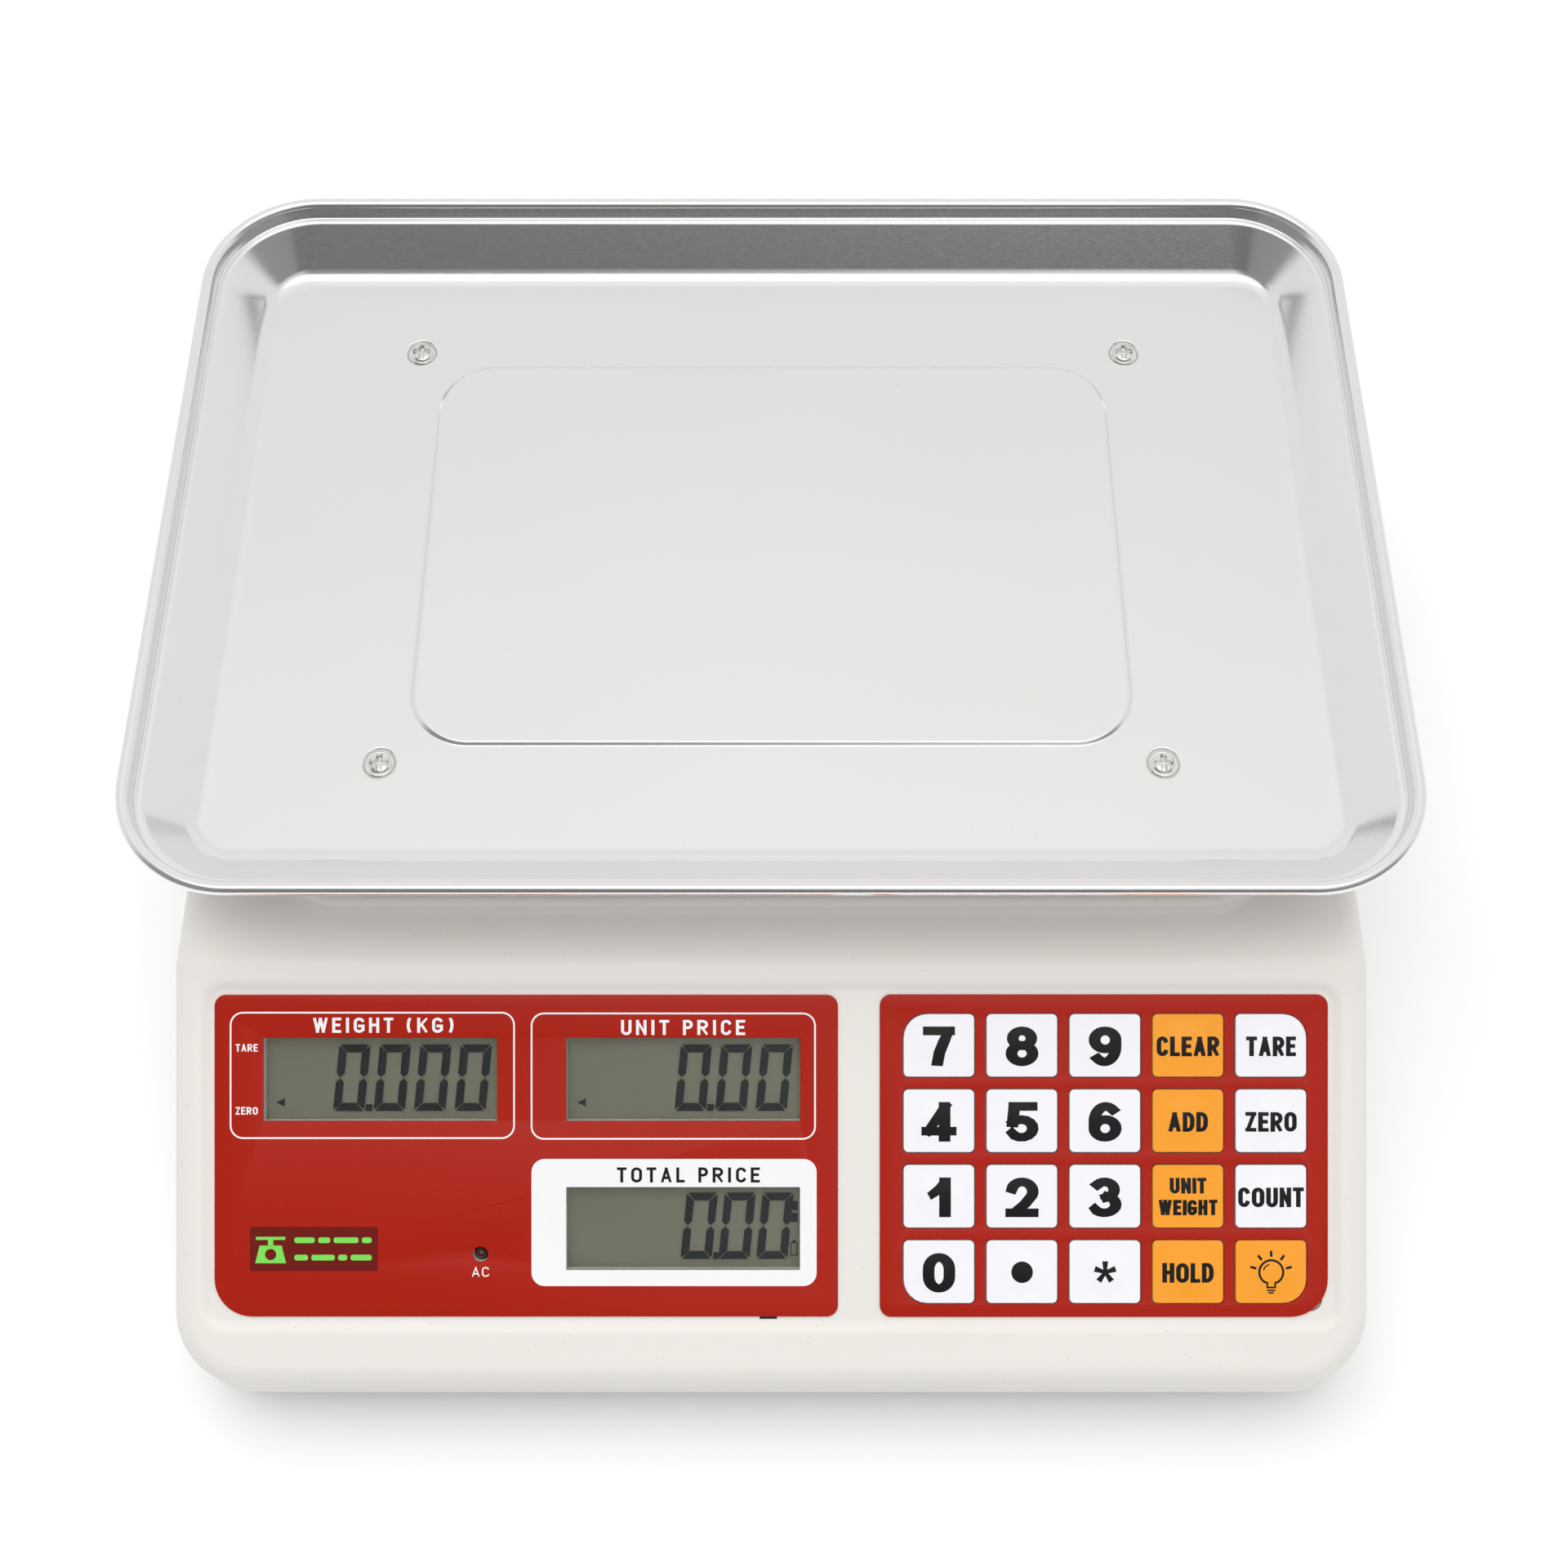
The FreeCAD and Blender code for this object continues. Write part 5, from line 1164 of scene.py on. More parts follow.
@dataclass
class FrontDisplays:
    """Printed display film, clear windows, three readouts, the lamp and the tab."""

    panel: Panel
    rim: float = 2.0 * MM
    ink: float = 0.03 * MM
    line: float = 0.45 * MM
    corner: float = 3.0 * MM
    big_corner: float = 10.0 * MM
    frame_corner: float = 3.5 * MM
    frame_size: Point = (75.6 * MM, 33.7 * MM)
    lamp_hole: float = 2.0 * MM
    label: Point = (33.9 * MM, 11.7 * MM)
    label_at: Point = (-56.3 * MM, -24.7 * MM)
    caption: Lettering = Lettering(4.0 * MM, (0.78 * MM, 0.7 * MM), 0.3)
    small_caption: Lettering = Lettering(2.0 * MM, (0.42 * MM, 0.34 * MM), 0.16)
    lamp_caption: Lettering = Lettering(2.6 * MM, (0.36 * MM, 0.34 * MM), 0.22)
    digit: DigitShape = field(default_factory=DigitShape)
    readouts: tuple[Readout, ...] = (
        Readout("lcd_weight", 4),
        Readout("lcd_unit_price", 3),
        Readout("lcd_total_price", 3, 20.2 * MM, 10.1 * MM, False, True),
    )

    def __post_init__(self) -> None:
        """Finds the film and its windows in the frame."""
        self.low, self.high = self.panel.local_box("display_overlay")
        self.mid = (self.low.x + self.high.x) / 2
        self.windows = {}
        for readout in self.readouts:
            low, high = self.panel.local_box(readout.name)
            self.windows[readout.name] = (
                ((low.x + high.x) / 2, (low.y + high.y) / 2),
                (high.x - low.x - 2 * self.rim, high.y - low.y - 2 * self.rim),
                high.z,
            )
        low, high = self.panel.local_box("power_led")
        self.lamp = ((low.x + high.x) / 2, (low.y + high.y) / 2)

    def frame_mid(self, name: str) -> Point:
        """Middle of the printed frame around one window."""
        shifts = {"lcd_weight": (-2.1, 1.1), "lcd_unit_price": (-2.6, 0.9), "lcd_total_price": (-2.4, 1.6)}
        at = self.windows[name][0]
        shift = shifts[name]
        return at[0] + shift[0] * MM, at[1] + shift[1] * MM

    def place(
        self, piece: bpy.types.Object, ink: Ink | bpy.types.Material, slot: str = "red_film",
    ) -> bpy.types.Object:
        """Dresses a flat piece and fixes it to the panel."""
        material = FILMS[ink] if isinstance(ink, Ink) else ink
        dress(self.panel.put(piece), material)
        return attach(piece, "housing")

    def build_film(self) -> None:
        """Builds the printed film and its clear windows."""
        width, height = self.high.x - self.low.x, self.high.y - self.low.y
        mid = (self.mid, (self.low.y + self.high.y) / 2)
        small, big = self.corner, self.big_corner
        loops = [rounded(width, height, (small, small, small, big), 10, mid)]
        loops += [rounded(*size, 0.3 * MM, 3, at) for at, size, _ in self.windows.values()]
        loops.append(circle(self.lamp_hole, self.lamp))
        film = merged("display_film", [flat_mesh(loops, -self.panel.film, 0.0, 0.06 * MM)])
        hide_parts("display_overlay")
        self.place(film, Ink.RED)
        clear = [clear_pane(size, at) for at, size, _ in self.windows.values()]
        self.place(merged("display_windows", clear), Clear("window_film").make())

    def build_print(self) -> None:
        """Builds the printed frames, captions and the green label."""
        white, black = [], []
        for name in ("lcd_weight", "lcd_unit_price"):
            at = self.frame_mid(name)
            outer = rounded(*self.frame_size, self.frame_corner, 8, at)
            inner_size = [side - 2 * self.line for side in self.frame_size]
            inner = rounded(*inner_size, self.frame_corner - self.line, 8, at)
            white.append(flat_mesh([outer, inner], 0.0, self.ink))
        at, size, _ = self.windows["lcd_total_price"]
        block = rounded(*self.frame_size, self.frame_corner, 8, self.frame_mid("lcd_total_price"))
        white.append(flat_mesh([block, rounded(*size, 0.3 * MM, 3, at)], 0.0, self.ink))
        for text, name, shift, width in (
            ("WEIGHT (KG)", "lcd_weight", (0.8, 14.4), 37.2),
            ("UNIT PRICE", "lcd_unit_price", (0.0, 13.8), 32.9),
        ):
            at = self.windows[name][0]
            word = self.caption.mesh(text, width * MM, 0.0, self.ink)
            white.append(moved(word, at[0] + shift[0] * MM, at[1] + shift[1] * MM))
        at = self.windows["lcd_total_price"][0]
        word = self.caption.mesh("TOTAL PRICE", 37.9 * MM, self.ink, 2 * self.ink)
        black.append(moved(word, at[0] + 1.4 * MM, at[1] + 14.2 * MM))
        at = self.windows["lcd_weight"][0]
        for text, rise in (("TARE", 8.4), ("ZERO", -8.3)):
            word = self.small_caption.mesh(text, 5.9 * MM, 0.0, self.ink)
            white.append(moved(word, at[0] - 35.4 * MM, at[1] + rise * MM))
        word = self.lamp_caption.mesh("AC", 4.6 * MM, 0.0, self.ink)
        white.append(moved(word, self.lamp[0], self.lamp[1] - 4.7 * MM))
        self.place(merged("panel_white_print", white), Ink.WHITE)
        self.place(merged("panel_black_print", black), Ink.BLACK)
        at = (self.mid + self.label_at[0], self.label_at[1])
        plate = flat_mesh([rounded(*self.label, 0.3 * MM, 3, at)], 0.0, self.ink)
        self.place(merged("panel_label", [plate]), Ink.DARK_RED)
        self.place(merged("panel_label_mark", self.label_mark(at)), Ink.GREEN)

    def label_mark(self, at: Point) -> list[bpy.types.Mesh]:
        """Plain picture of a scale with two rows of dashes beside it."""
        low, high = self.ink, 2 * self.ink
        left = at[0] - self.label[0] / 2
        tray, body = (
            [(left + x * MM, at[1] + y * MM) for x, y in corners]
            for corners in (
                ((1.6, 3.2), (1.6, 2.4), (9.4, 2.4), (9.4, 3.2)),
                ((1.4, -3.8), (9.6, -3.8), (8.4, 0.9), (2.6, 0.9)),
            )
        )
        stem = rounded(1.4 * MM, 1.6 * MM, 0.1 * MM, 2, (left + 5.5 * MM, at[1] + 1.6 * MM))
        dial = circle(1.5 * MM, (left + 5.5 * MM, at[1] - 1.5 * MM), 24)
        marks = [flat_mesh([loop], low, high) for loop in (tray, stem)]
        marks.append(flat_mesh([body, dial], low, high))
        for rise, lengths in ((2.3, (5.4, 3.2, 6.6, 2.6)), (-2.3, (3.6, 6.2, 2.4, 5.6))):
            x = left + 11.8 * MM
            for length in lengths:
                bar = rounded(length * MM, 1.5 * MM, 0.6 * MM, 4, (x + length * MM / 2, at[1] + rise * MM))
                marks.append(flat_mesh([bar], low, high))
                x += (length + 0.9) * MM
        return marks

    def build_readouts(self) -> None:
        """Builds the digits and marks, and dresses the displays."""
        for readout in self.readouts:
            at, size, face = self.windows[readout.name]
            dress_node(readout.name, FILMS[Ink.LCD])
            marks = self.marks(readout, size, face + self.digit.lift)
            for data in marks:
                moved(data, *at)
            self.place(merged(readout.name + "_digits", marks), Ink.SEGMENT, "lcd_glass")

    def marks(self, readout: Readout, size: Point, low: float) -> list[bpy.types.Mesh]:
        """Meshes of one display's digits and marks, about its middle."""
        high = low + self.digit.thickness
        loops = [[loop] for loop in self.digit.figures(readout)]
        if readout.pointer:
            tip = -size[0] / 2 + 2.6 * MM
            y = -6.6 * MM
            loops.append([[(tip, y), (tip + 2.3 * MM, y - 1.1 * MM), (tip + 2.3 * MM, y + 1.1 * MM)]])
        if readout.battery:
            x = size[0] / 2 - 1.6 * MM
            for rise in (5.4, 2.2):
                loops.append([rounded(1.9 * MM, 2.4 * MM, 0.1 * MM, 2, (x, rise * MM))])
            outer = rounded(1.9 * MM, 3.6 * MM, 0.3 * MM, 3, (x, -6.2 * MM))
            inner = rounded(1.4 * MM, 3.1 * MM, 0.2 * MM, 3, (x, -6.2 * MM))
            loops.append([outer, inner])
            loops.append([rounded(0.9 * MM, 0.6 * MM, 0.1 * MM, 2, (x, -4.1 * MM))])
        return [flat_mesh(group, low, high) for group in loops]

    def build(self) -> None:
        """Builds every piece of the display side."""
        self.build_film()
        self.build_print()
        self.build_readouts()
        lens = Plastic("lamp_lens", srgb(62, 20, 18), 0.8, 0.12, coat=0.6)
        dress_node("power_led", lens.make())
        dress_node("overlay_tab", Plastic("black_tape", srgb(18, 18, 18), 0.8, 0.6).make())


# ------------------------------------------------------------------ keypad
class Cap(Enum):
    """Colours of the keys."""

    WHITE = srgb(243, 243, 249)
    ORANGE = srgb(248, 160, 34)


@dataclass(frozen=True)
class Key:
    """One key: its node's name, its words with their widths in mm, and its wide corner."""

    name: str
    words: dict[str, float] = field(default_factory=dict)
    cap: Cap = Cap.WHITE
    outer: Optional[int] = None


@dataclass
class Keypad:
    """Keypad film with twenty domed keys and their legends."""

    panel: Panel
    corner: float = 1.3 * MM
    outer_corner: float = 6.3 * MM
    gap: float = 0.3 * MM
    dome: float = 7.8 * MM
    dome_rise: float = 0.42 * MM
    brim: float = 0.28 * MM
    soften: float = 0.22 * MM
    grid: float = 0.95 * MM
    film_corner: float = 3.0 * MM
    big_corner: float = 10.0 * MM
    figure: Lettering = Lettering(10.5 * MM, (3.1 * MM, 2.3 * MM))
    word: Lettering = Lettering(5.2 * MM, (1.22 * MM, 1.0 * MM), 0.1)
    small_word: Lettering = Lettering(4.1 * MM, (1.05 * MM, 0.85 * MM), 0.1)
    word_pitch: float = 5.8 * MM
    keys: tuple[Key, ...] = (
        Key("7", {"7": 8.5}, outer=2), Key("8", {"8": 8.7}), Key("9", {"9": 8.7}),
        Key("clear", {"CLEAR": 16.6}, Cap.ORANGE), Key("tare", {"TARE": 13.2}, outer=1),
        Key("4", {"4": 9.3}), Key("5", {"5": 8.8}), Key("6", {"6": 8.8}),
        Key("add", {"ADD": 10.5}, Cap.ORANGE), Key("zero", {"ZERO": 13.6}),
        Key("1", {"1": 6.3}), Key("2", {"2": 8.8}), Key("3", {"3": 8.8}),
        Key("unit_weight", {"UNIT": 9.7, "WEIGHT": 15.6}, Cap.ORANGE), Key("count", {"COUNT": 17.4}),
        Key("0", {"0": 8.6}, outer=3), Key("point"), Key("star"),
        Key("hold", {"HOLD": 13.6}, Cap.ORANGE), Key("light", cap=Cap.ORANGE, outer=0),
    )

    def build(self) -> None:
        """Builds the film, the keys and the legends."""
        low, high = self.panel.local_box("keypad_overlay")
        mid = ((low.x + high.x) / 2, (low.y + high.y) / 2)
        radii = (self.big_corner, self.film_corner, self.film_corner, self.film_corner)
        loops = [rounded(high.x - low.x, high.y - low.y, radii, 10, mid)]
        finishes = {cap: Film(f"key_{cap.name.lower()}", cap.value, 0.2, 0.98, 0.5).make() for cap in Cap}
        for key in self.keys:
            at, size = self.place_of(key)
            radii = [radius + self.gap for radius in self.radii(key)]
            loops.append(rounded(size[0] + 2 * self.gap, size[1] + 2 * self.gap, radii, 6, at))
            self.build_key(key, finishes[key.cap])
        film = merged("keypad_film", [flat_mesh(loops, -self.panel.film, 0.0, 0.06 * MM)])
        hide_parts("keypad_overlay")
        dress(self.panel.put(film), FILMS[Ink.RED])
        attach(film, "housing")

    def place_of(self, key: Key) -> tuple[Point, Point]:
        """Middle and size of one key, in the panel's plane."""
        low, high = self.panel.local_box("key_" + key.name)
        return ((low.x + high.x) / 2, (low.y + high.y) / 2), (high.x - low.x, high.y - low.y)

    def radii(self, key: Key) -> list[float]:
        """Corner radii of one key: front right, back right, back left, front left."""
        radii = [self.corner] * 4
        if key.outer is not None:
            radii[key.outer] = self.outer_corner
        return radii

    def surface(self, x: float, y: float) -> float:
        """Height of a key's face: a round emboss on a flat cap."""
        away = min(math.hypot(x, y) / self.dome, 1.0)
        return self.brim + self.dome_rise * (1 + math.cos(math.pi * away)) / 2

    def divide(self, work: bmesh.types.BMesh, size: Point) -> None:
        """Cuts a mesh along a square grid, so that it can follow the dome."""
        for axis in range(2):
            normal = Vector((1, 0, 0)) if axis == 0 else Vector((0, 1, 0))
            count = int(size[axis] / self.grid)
            for number in range(-count // 2, count // 2 + 1):
                held = list(work.verts) + list(work.edges) + list(work.faces)
                at = normal * number * self.grid
                bmesh.ops.bisect_plane(work, geom=held, dist=1e-8, plane_co=at, plane_no=normal)

    def cap(self, key: Key, size: Point, low: float) -> bmesh.types.BMesh:
        """Mesh of one key about its middle: soft edge, domed face and closed underside.

        Args:
            key: The key.
            size: Its width and depth.
            low: Height of its underside.

        Returns:
            The mesh.
        """
        work = bmesh.new()
        radii = self.radii(key)
        loop = rounded(*size, radii, 6)
        before = [work.verts.new((x, y, low)) for x, y in loop]
        work.faces.new(before)
        steps = 4
        for step in range(steps + 1):
            turn = math.pi / 2 * step / steps
            inset = self.soften * (1 - math.cos(turn))
            loop = rounded(
                size[0] - 2 * inset, size[1] - 2 * inset,
                [max(radius - inset, 0.1 * MM) for radius in radii], 6,
            )
            height = self.brim - self.soften * (1 - math.sin(turn))
            after = [work.verts.new((x, y, height)) for x, y in loop]
            Tray.join(work, before, after)
            before = after
        face = bmesh.new()
        face.faces.new([face.verts.new((vertex.co.x, vertex.co.y, 0.0)) for vertex in before])
        self.divide(face, size)
        for vertex in face.verts:
            vertex.co.z = self.surface(vertex.co.x, vertex.co.y)
        top = bpy.data.meshes.new("face")
        face.to_mesh(top)
        face.free()
        work.from_mesh(top)
        bpy.data.meshes.remove(top)
        return work

    def build_key(self, key: Key, finish: bpy.types.Material) -> None:
        """Builds one key and its legend."""
        at, size = self.place_of(key)
        low = self.panel.local_box("key_" + key.name)[0].z
        cap = piece_of("cap_" + key.name, self.cap(key, size, low), 60.0)
        legend = merged("legend_" + key.name, self.legend(key), 60.0)
        work = bmesh.new()
        work.from_mesh(legend.data)
        self.divide(work, size)
        for vertex in work.verts:
            vertex.co.z += self.surface(vertex.co.x, vertex.co.y)
        work.to_mesh(legend.data)
        work.free()
        for piece, material in ((cap, finish), (legend, FILMS[Ink.BLACK])):
            piece.data.transform(Matrix.Translation((*at, 0.0)))
            dress(self.panel.put(piece), material)
            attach(piece, "key_" + key.name)
        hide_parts("key_" + key.name)

    def legend(self, key: Key) -> list[bpy.types.Mesh]:
        """Flat legend of one key, about its middle."""
        low, high = 0.01 * MM, 0.035 * MM
        if key.name == "point":
            return [flat_mesh([circle(2.85 * MM)], low, high)]
        if key.name == "star":
            return [
                flat_mesh([self.star_arm(number)], low, high + number * STAGGER) for number in range(5)
            ]
        if key.name == "light":
            return self.bulb(low, high)
        if len(key.words) == 1:
            text, width = next(iter(key.words.items()))
            lettering = self.figure if text.isdigit() else self.word
            return [moved(lettering.mesh(text, width * MM, low, high), 0.0, -0.2 * MM)]
        top = self.word_pitch * (len(key.words) - 1) / 2
        return [
            moved(self.small_word.mesh(text, width * MM, low, high), 0.0, top - number * self.word_pitch)
            for number, (text, width) in enumerate(key.words.items())
        ]

    @staticmethod
    def star_arm(number: int) -> Loop:
        """One tapered arm of the five-armed star."""
        turn = Matrix.Rotation(number * 2 * math.pi / 5, 2)
        corners = ((-0.42, 0.0), (0.42, 0.0), (0.78, 2.9), (-0.78, 2.9))
        return [tuple(turn @ (Vector(point) * MM)) for point in corners]

    @staticmethod
    def bulb(low: float, high: float) -> list[bpy.types.Mesh]:
        """Outline of a lamp bulb with rays and a glint."""
        def shape(radius: float, foot: float, base: float) -> Loop:
            """Outline of the glass at one offset."""
            loop = arc((0.0, 0.0), (radius, radius), -52, 232, 36)
            loop += [(-foot, base + 1.2), (-foot, base), (foot, base), (foot, base + 1.2)]
            return [(x * MM, y * MM) for x, y in loop]

        meshes = [flat_mesh([shape(3.45, 1.25, -4.3), shape(2.88, 0.8, -3.85)], low, high)]
        glint = arc((0.0, 0.0), (2.3, 2.3), 105, 165, 8) + arc((0.0, 0.0), (1.95, 1.95), 165, 105, 8)
        meshes.append(flat_mesh([[(x * MM, y * MM) for x, y in glint]], low, high))
        for rise, width in ((-4.85, 2.3), (-5.5, 1.5)):
            bar = rounded(width * MM, 0.4 * MM, 0.15 * MM, 2, (0.0, rise * MM))
            meshes.append(flat_mesh([bar], low, high))
        for angle in (14, 52, 90, 128, 166):
            spin = Matrix.Rotation(math.radians(angle), 2)
            bar = rounded(1.6 * MM, 0.66 * MM, 0.15 * MM, 2, (4.85 * MM, 0.0))
            meshes.append(flat_mesh([[tuple(spin @ Vector(point)) for point in bar]], low, high))
        return meshes


# ------------------------------------------------------------------ rear panel
@dataclass
class RearPanel:
    """Customer's readouts on the back wall: film, windows, frames and digits."""

    corner: float = 4.0 * MM
    window: Point = (62.0 * MM, 22.0 * MM)
    pitch: float = 76.0 * MM
    film: float = 0.5 * MM
    ink: float = 0.03 * MM
    digit: DigitShape = field(default_factory=DigitShape)
    readouts: tuple[Readout, ...] = (
        Readout("rear_weight", 4), Readout("rear_unit_price", 3), Readout("rear_total_price", 3),
    )
    captions: tuple[str, ...] = ("WEIGHT (KG)", "UNIT PRICE", "TOTAL PRICE")
    lettering: Lettering = Lettering(3.6 * MM, (0.7 * MM, 0.62 * MM), 0.28)

    def put(
        self, piece: bpy.types.Object, ink: Ink | bpy.types.Material, slot: str = "red_film",
    ) -> bpy.types.Object:
        """Stands a flat piece on the back wall, facing backwards, and dresses it."""
        low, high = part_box("rear_overlay")
        turn = Matrix.Rotation(math.pi, 4, "Z") @ Matrix.Rotation(math.pi / 2, 4, "X")
        place = Matrix.Translation(((low.x + high.x) / 2, high.y, (low.z + high.z) / 2))
        piece.data.transform(place @ turn)
        dress(piece, FILMS[ink] if isinstance(ink, Ink) else ink)
        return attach(piece, "housing")

    def build(self) -> None:
        """Builds the film, its print, the clear windows and the digits."""
        low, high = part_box("rear_overlay")
        size = (high.x - low.x, high.z - low.z)
        lcd_low, lcd_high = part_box("rear_lcds")
        drop = (lcd_low.z + lcd_high.z - low.z - high.z) / 2
        spots = [((number - 1) * self.pitch, drop) for number in range(3)]
        loops = [rounded(*size, self.corner, 10)]
        loops += [rounded(*self.window, 0.3 * MM, 3, at) for at in spots]
        film = merged("rear_film", [flat_mesh(loops, -self.film, 0.0, 0.06 * MM)])
        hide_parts("rear_overlay")
        self.put(film, Ink.RED)
        clear = [clear_pane(self.window, at) for at in spots]
        self.put(merged("rear_windows", clear), Clear("rear_window_film").make())
        dress_node("rear_lcds", FILMS[Ink.LCD])
        white = []
        face = lcd_high.y - high.y + self.digit.lift
        for at, readout, caption in zip(spots, self.readouts, self.captions):
            outer = rounded(69.5 * MM, 27.0 * MM, 3.0 * MM, 8, at)
            inner = rounded(68.6 * MM, 26.1 * MM, 2.6 * MM, 8, at)
            white.append(flat_mesh([outer, inner], 0.0, self.ink))
            word = self.lettering.mesh(caption, 3.3 * MM * len(caption), 0.0, self.ink)
            white.append(moved(word, at[0], at[1] + 17.0 * MM))
            marks = [
                flat_mesh([loop], face, face + self.digit.thickness) for loop in self.digit.figures(readout)
            ]
            for data in marks:
                moved(data, *at)
            self.put(merged(readout.name + "_digits", marks), Ink.SEGMENT, "lcd_glass")
        self.put(merged("rear_white_print", white), Ink.WHITE)


# ------------------------------------------------------------------ housing and works
@dataclass(frozen=True)
class Board:
    """Circuit board lacquer with faint tracks."""

    name: str
    colour: Colour = srgb(34, 96, 52)

    def make(self) -> bpy.types.Material:
        """Builds the material."""
        paint = Paint(self.name)
        paint.fix(IOR=1.5, Coat_Weight=0.3, Coat_Roughness=0.15)
        tracks = paint.group(EFFECTS.grain, Scale=700.0, Stretch=8.0, Drift_Scale=60.0)
        light = tuple(min(channel * 1.5, 0.9) for channel in self.colour)
        paint.feed("Base Color", paint.mix(tracks.outputs["Height"], self.colour, light))
        paint.feed("Roughness", paint.ramp(tracks.outputs["Drift"], 0.3, 0.42))
        paint.bump(tracks.outputs["Height"], 0.00002, 0.4)
        return paint.material


@dataclass
class Fittings:
    """Finishes of the parts that keep their own shape."""

    cover: Plastic = Plastic(
        "cover_white", srgb(234, 231, 226), 0.975, 0.42, 1300.0, 0.00001, srgb(188, 176, 160),
    )
    base: Plastic = Plastic(
        "base_white", srgb(243, 240, 234), 0.965, 0.46, 1100.0, 0.000014, srgb(176, 164, 148),
    )
    black: Plastic = Plastic("black_moulding", srgb(28, 28, 30), 0.82, 0.42, 1500.0)
    battery: Plastic = Plastic("battery_case", srgb(46, 48, 54), 0.85, 0.5, 1200.0)
    sheet: Plastic = Plastic("switch_sheet", srgb(205, 200, 186), 0.92, 0.4)
    rubber: Plastic = Plastic("foot_rubber", srgb(30, 30, 31), 0.8, 0.72, 900.0, 0.00004)
    plate: Steel = Steel("zinc_plate", (0.66, 0.65, 0.61), 0.36, 900.0, 1.0, 0.00001)
    fastener: Steel = Steel("fastener_steel", (0.70, 0.69, 0.66), 0.3, 1800.0, 1.0)
    aluminium: Steel = Steel("milled_aluminium", (0.80, 0.80, 0.80), 0.33, 1500.0, 26.0)
    cast: Steel = Steel("cast_aluminium", (0.70, 0.70, 0.69), 0.5, 1100.0, 1.0, 0.00003)
    core: Steel = Steel("core_steel", (0.36, 0.34, 0.32), 0.48, 1600.0, 30.0)
    brass: Steel = Steel("pin_brass", (0.80, 0.66, 0.38), 0.28, 2000.0, 6.0)

    def build(self) -> None:
        """Dresses every part that is carried over."""
        black = self.black.make()
        plate, fastener = self.plate.make(), self.fastener.make()
        base = self.base.make()
        board = Board("green_board").make()
        finishes = {
            "upper_housing": self.cover.make(), "lower_housing": base, "battery_door": base,
            "power_inlet": black, "switch_frame": black, "switch_rocker": black,
            "housing_screws": fastener, "cell_bolts_upper": fastener, "cell_bolts_lower": fastener,
            "overload_stops": fastener, "base_plate": plate,
            "load_cell": self.aluminium.make(), "spider": self.cast.make(),
            "battery": self.battery.make(), "transformer": self.core.make(), "power_board": board,
            "display_board": board, "rear_display_board": board, "keypad_circuit": self.sheet.make(),
            "inlet_pins": self.brass.make(),
        }
        rubber = self.rubber.make()
        for corner in ("front_left", "front_right", "rear_left", "rear_right"):
            finishes["foot_stud_" + corner] = fastener
            finishes["foot_pad_" + corner] = rubber
        for node, material in finishes.items():
            dress_node(node, material)


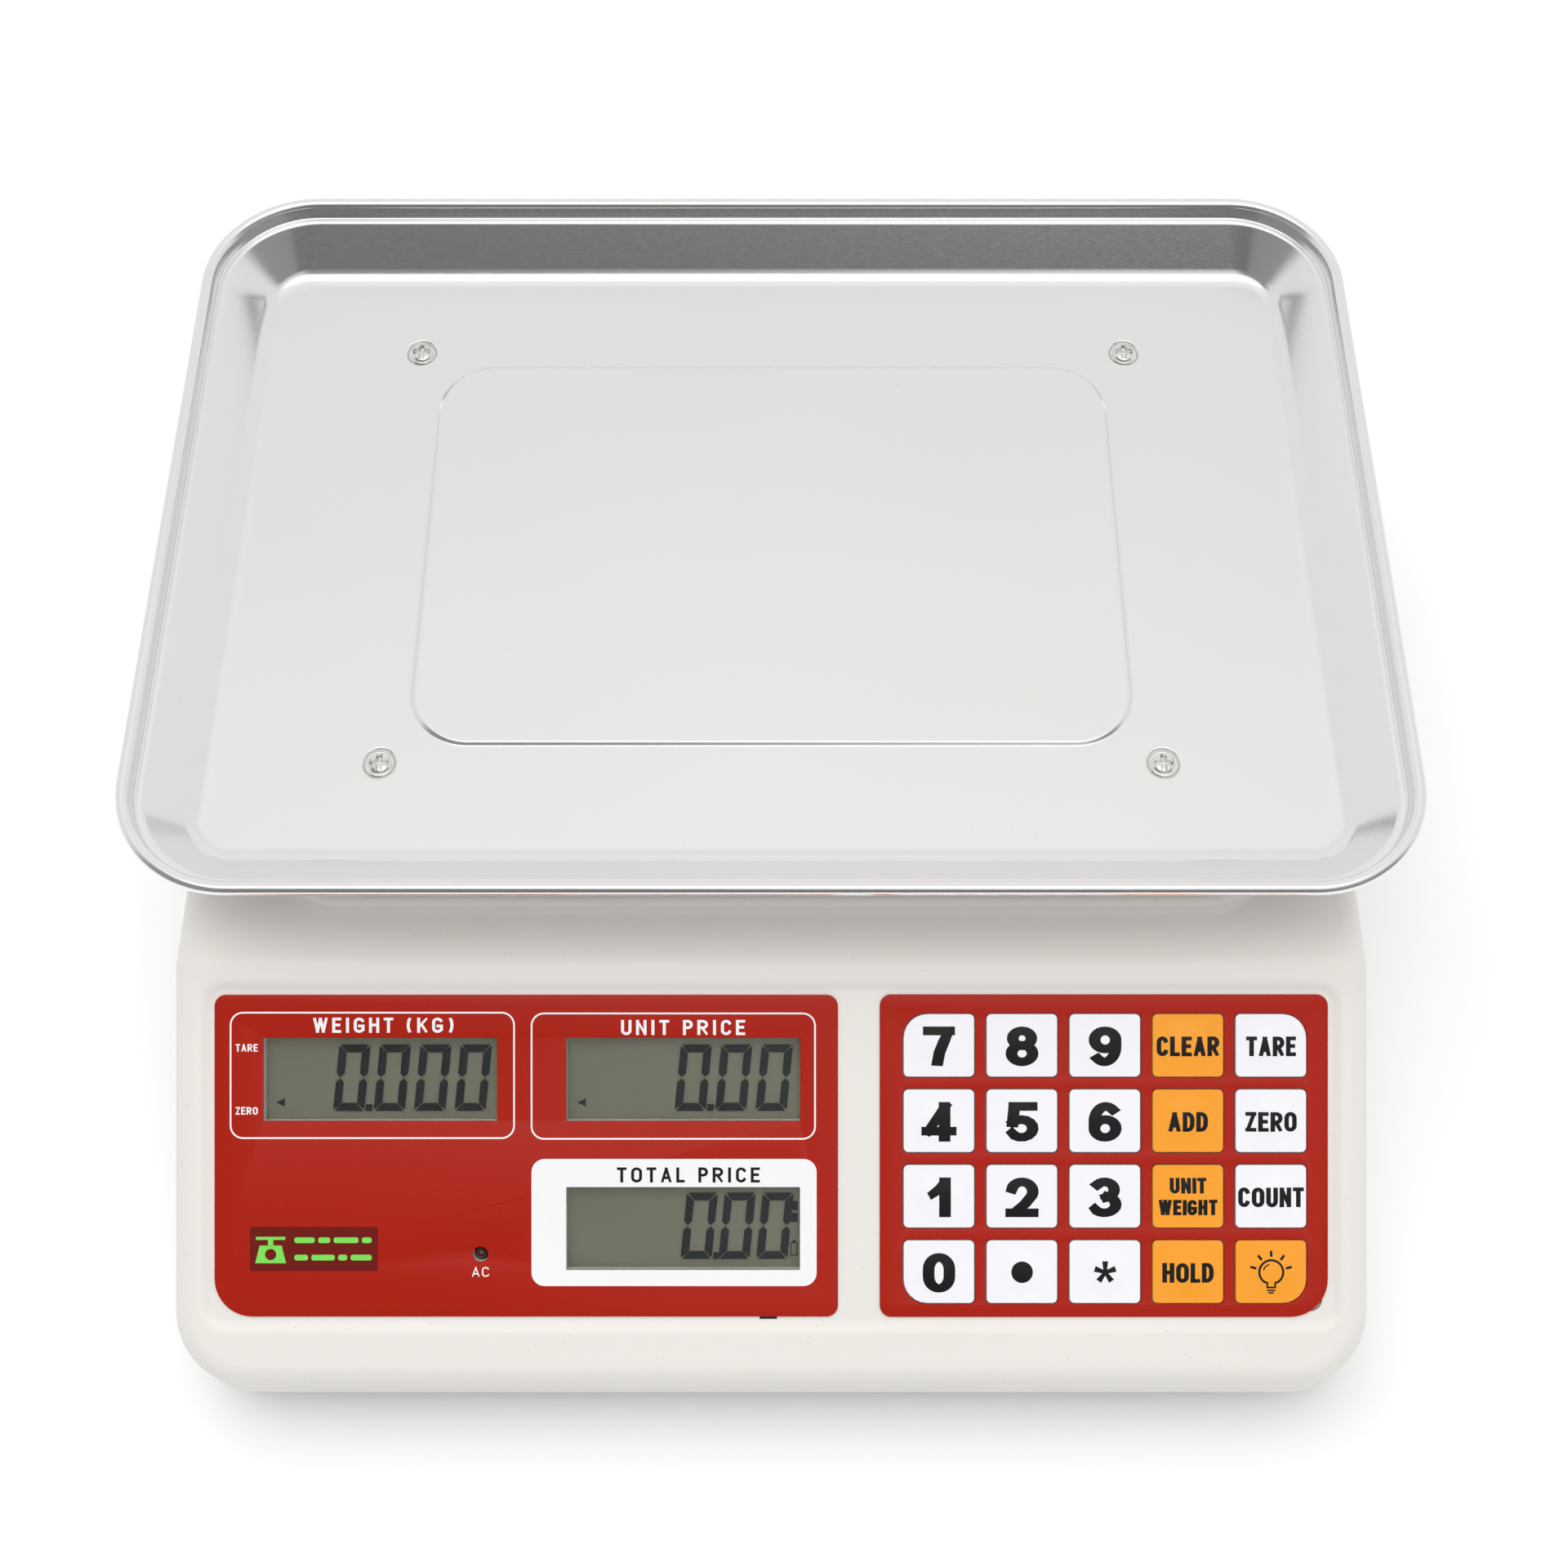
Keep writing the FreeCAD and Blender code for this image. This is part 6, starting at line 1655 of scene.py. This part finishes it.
# ------------------------------------------------------------------ studio
@dataclass
class Studio:
    """Pale floor, soft light and the camera."""

    camera_at: tuple[float, float, float] = (0.0034, -0.2525, 0.562)
    tilt: float = math.radians(26.3)
    lens: float = 44.3
    floor_size: float = 6.0
    overhead: Point = (0.83, 0.95)
    overhead_front: float = 1.5
    shoulder: Point = (0.3, 0.75)
    ring: tuple[Point, ...] = ((0.0, 0.17), (0.09, 0.17), (0.14, 0.27), (0.4, 0.3), (0.49, 0.8), (1.0, 0.9))

    def build(self) -> None:
        """Builds the floor, the surroundings, the lights and the camera."""
        self.build_floor()
        self.build_world()
        self.build_lights()
        self.build_camera()
        bpy.context.scene.view_settings.view_transform = "Standard"

    def build_floor(self) -> None:
        """Lays a pale sweep of paper under the scale."""
        work = bmesh.new()
        half = self.floor_size / 2
        low = CAD_BOX[0][2]
        corners = [work.verts.new((x * half, y * half, low)) for x, y in ((-1, -1), (1, -1), (1, 1), (-1, 1))]
        work.faces.new(corners)
        bmesh.ops.subdivide_edges(work, edges=list(work.edges), cuts=7, use_grid_fill=True)
        floor = piece_of("studio_floor", work)
        paper = Plastic("paper", (0.95, 0.95, 0.95), 0.99, 0.7, 300.0, 0.00001)
        dress(floor, paper.make())

    def build_world(self) -> None:
        """Makes the surroundings: dark in front at eye level, pale around, brightest overhead in front."""
        world = bpy.data.worlds.new("studio")
        bpy.context.scene.world = world
        world.use_nodes = True
        tree = world.node_tree

        def maths(operation: str, first: bpy.types.NodeSocket, second: object = 0.0) -> bpy.types.NodeSocket:
            """Adds one sum."""
            made = tree.nodes.new("ShaderNodeMath")
            made.operation = operation
            tree.links.new(first, made.inputs[0])
            if isinstance(second, bpy.types.NodeSocket):
                tree.links.new(second, made.inputs[1])
            else:
                made.inputs[1].default_value = second
            return made.outputs[0]

        def ramp(start: bpy.types.NodeSocket, low: float, high: float) -> bpy.types.NodeSocket:
            """Adds a soft step from 0 to 1."""
            made = tree.nodes.new("ShaderNodeMapRange")
            made.interpolation_type = "SMOOTHSTEP"
            made.inputs["From Min"].default_value = low
            made.inputs["From Max"].default_value = high
            tree.links.new(start, made.inputs["Value"])
            return made.outputs[0]

        def mix(mask: bpy.types.NodeSocket, first: object, second: object) -> bpy.types.NodeSocket:
            """Blends two greys or sockets."""
            made = tree.nodes.new("ShaderNodeMix")
            made.data_type = "RGBA"
            tree.links.new(mask, made.inputs["Factor"])
            for socket, value in ((made.inputs[6], first), (made.inputs[7], second)):
                if isinstance(value, bpy.types.NodeSocket):
                    tree.links.new(value, socket)
                else:
                    socket.default_value = (value, value * 0.995, value * 0.985, 1.0)
            return made.outputs[2]

        place = tree.nodes.new("ShaderNodeTexCoord")
        split = tree.nodes.new("ShaderNodeSeparateXYZ")
        tree.links.new(place.outputs["Generated"], split.inputs[0])
        across, back, up = split.outputs
        turn = maths("ABSOLUTE", maths("ARCTAN2", across, maths("MULTIPLY", back, -1.0)))
        ring = tree.nodes.new("ShaderNodeValToRGB")
        self.stops(ring, self.ring)
        tree.links.new(maths("DIVIDE", turn, math.pi), ring.inputs[0])
        rear = mix(ramp(up, 0.74, 0.94), self.overhead[0], self.overhead[1])
        shoulder = mix(ramp(across, -0.15, 0.2), self.shoulder[0], self.shoulder[1])
        front = mix(ramp(up, 0.83, 0.9), shoulder, self.overhead_front)
        above = mix(ramp(back, 0.2, -0.1), rear, front)
        sky = mix(ramp(up, 0.6, 0.74), ring.outputs[0], above)
        tree.links.new(sky, tree.nodes["Background"].inputs["Color"])

    @staticmethod
    def stops(node: bpy.types.Node, levels: Sequence[tuple[float, float]]) -> None:
        """Sets the grey stops of a colour ramp."""
        ramp = node.color_ramp
        while len(ramp.elements) < len(levels):
            ramp.elements.new(0.5)
        for element, (position, grey) in zip(ramp.elements, levels):
            element.position = position
        for element, (position, grey) in zip(ramp.elements, levels):
            element.color = (grey, grey, grey, 1.0)

    def build_lights(self) -> None:
        """Hangs a large soft light above and a smaller one in front."""
        for name, place, target, size, power in (
            ("top_light", (-0.25, 0.25, 1.5), (0.0, 0.0, 0.05), 1.2, 8.5),
            ("front_light", (0.4, -1.5, 0.9), (0.0, -0.1, 0.05), 0.9, 5.5),
        ):
            lamp = bpy.data.lights.new(name, "AREA")
            lamp.energy = power
            lamp.size = size
            held = bpy.data.objects.new(name, lamp)
            held.location = place
            aim = Vector(target) - Vector(place)
            held.rotation_euler = aim.to_track_quat("-Z", "Y").to_euler()
            held.visible_glossy = False
            bpy.context.scene.collection.objects.link(held)

    def build_camera(self) -> None:
        """Places the camera."""
        lens = bpy.data.cameras.new("camera")
        lens.lens = self.lens
        lens.sensor_width = 36.0
        lens.clip_start = 0.01
        held = bpy.data.objects.new("camera", lens)
        held.location = self.camera_at
        held.rotation_euler = (self.tilt, 0.0, 0.0)
        bpy.context.scene.collection.objects.link(held)
        bpy.context.scene.camera = held


def main() -> None:
    """Builds the scale, piece by piece, then the studio."""
    logging.basicConfig(level=logging.INFO, format="%(message)s")
    panel = Panel()
    for part in (Fittings(), Tray(), FrontDisplays(panel), Keypad(panel), RearPanel(), Studio()):
        part.build()
        LOG.info("built %s", type(part).__name__)


if __name__ == "__main__":
    main()
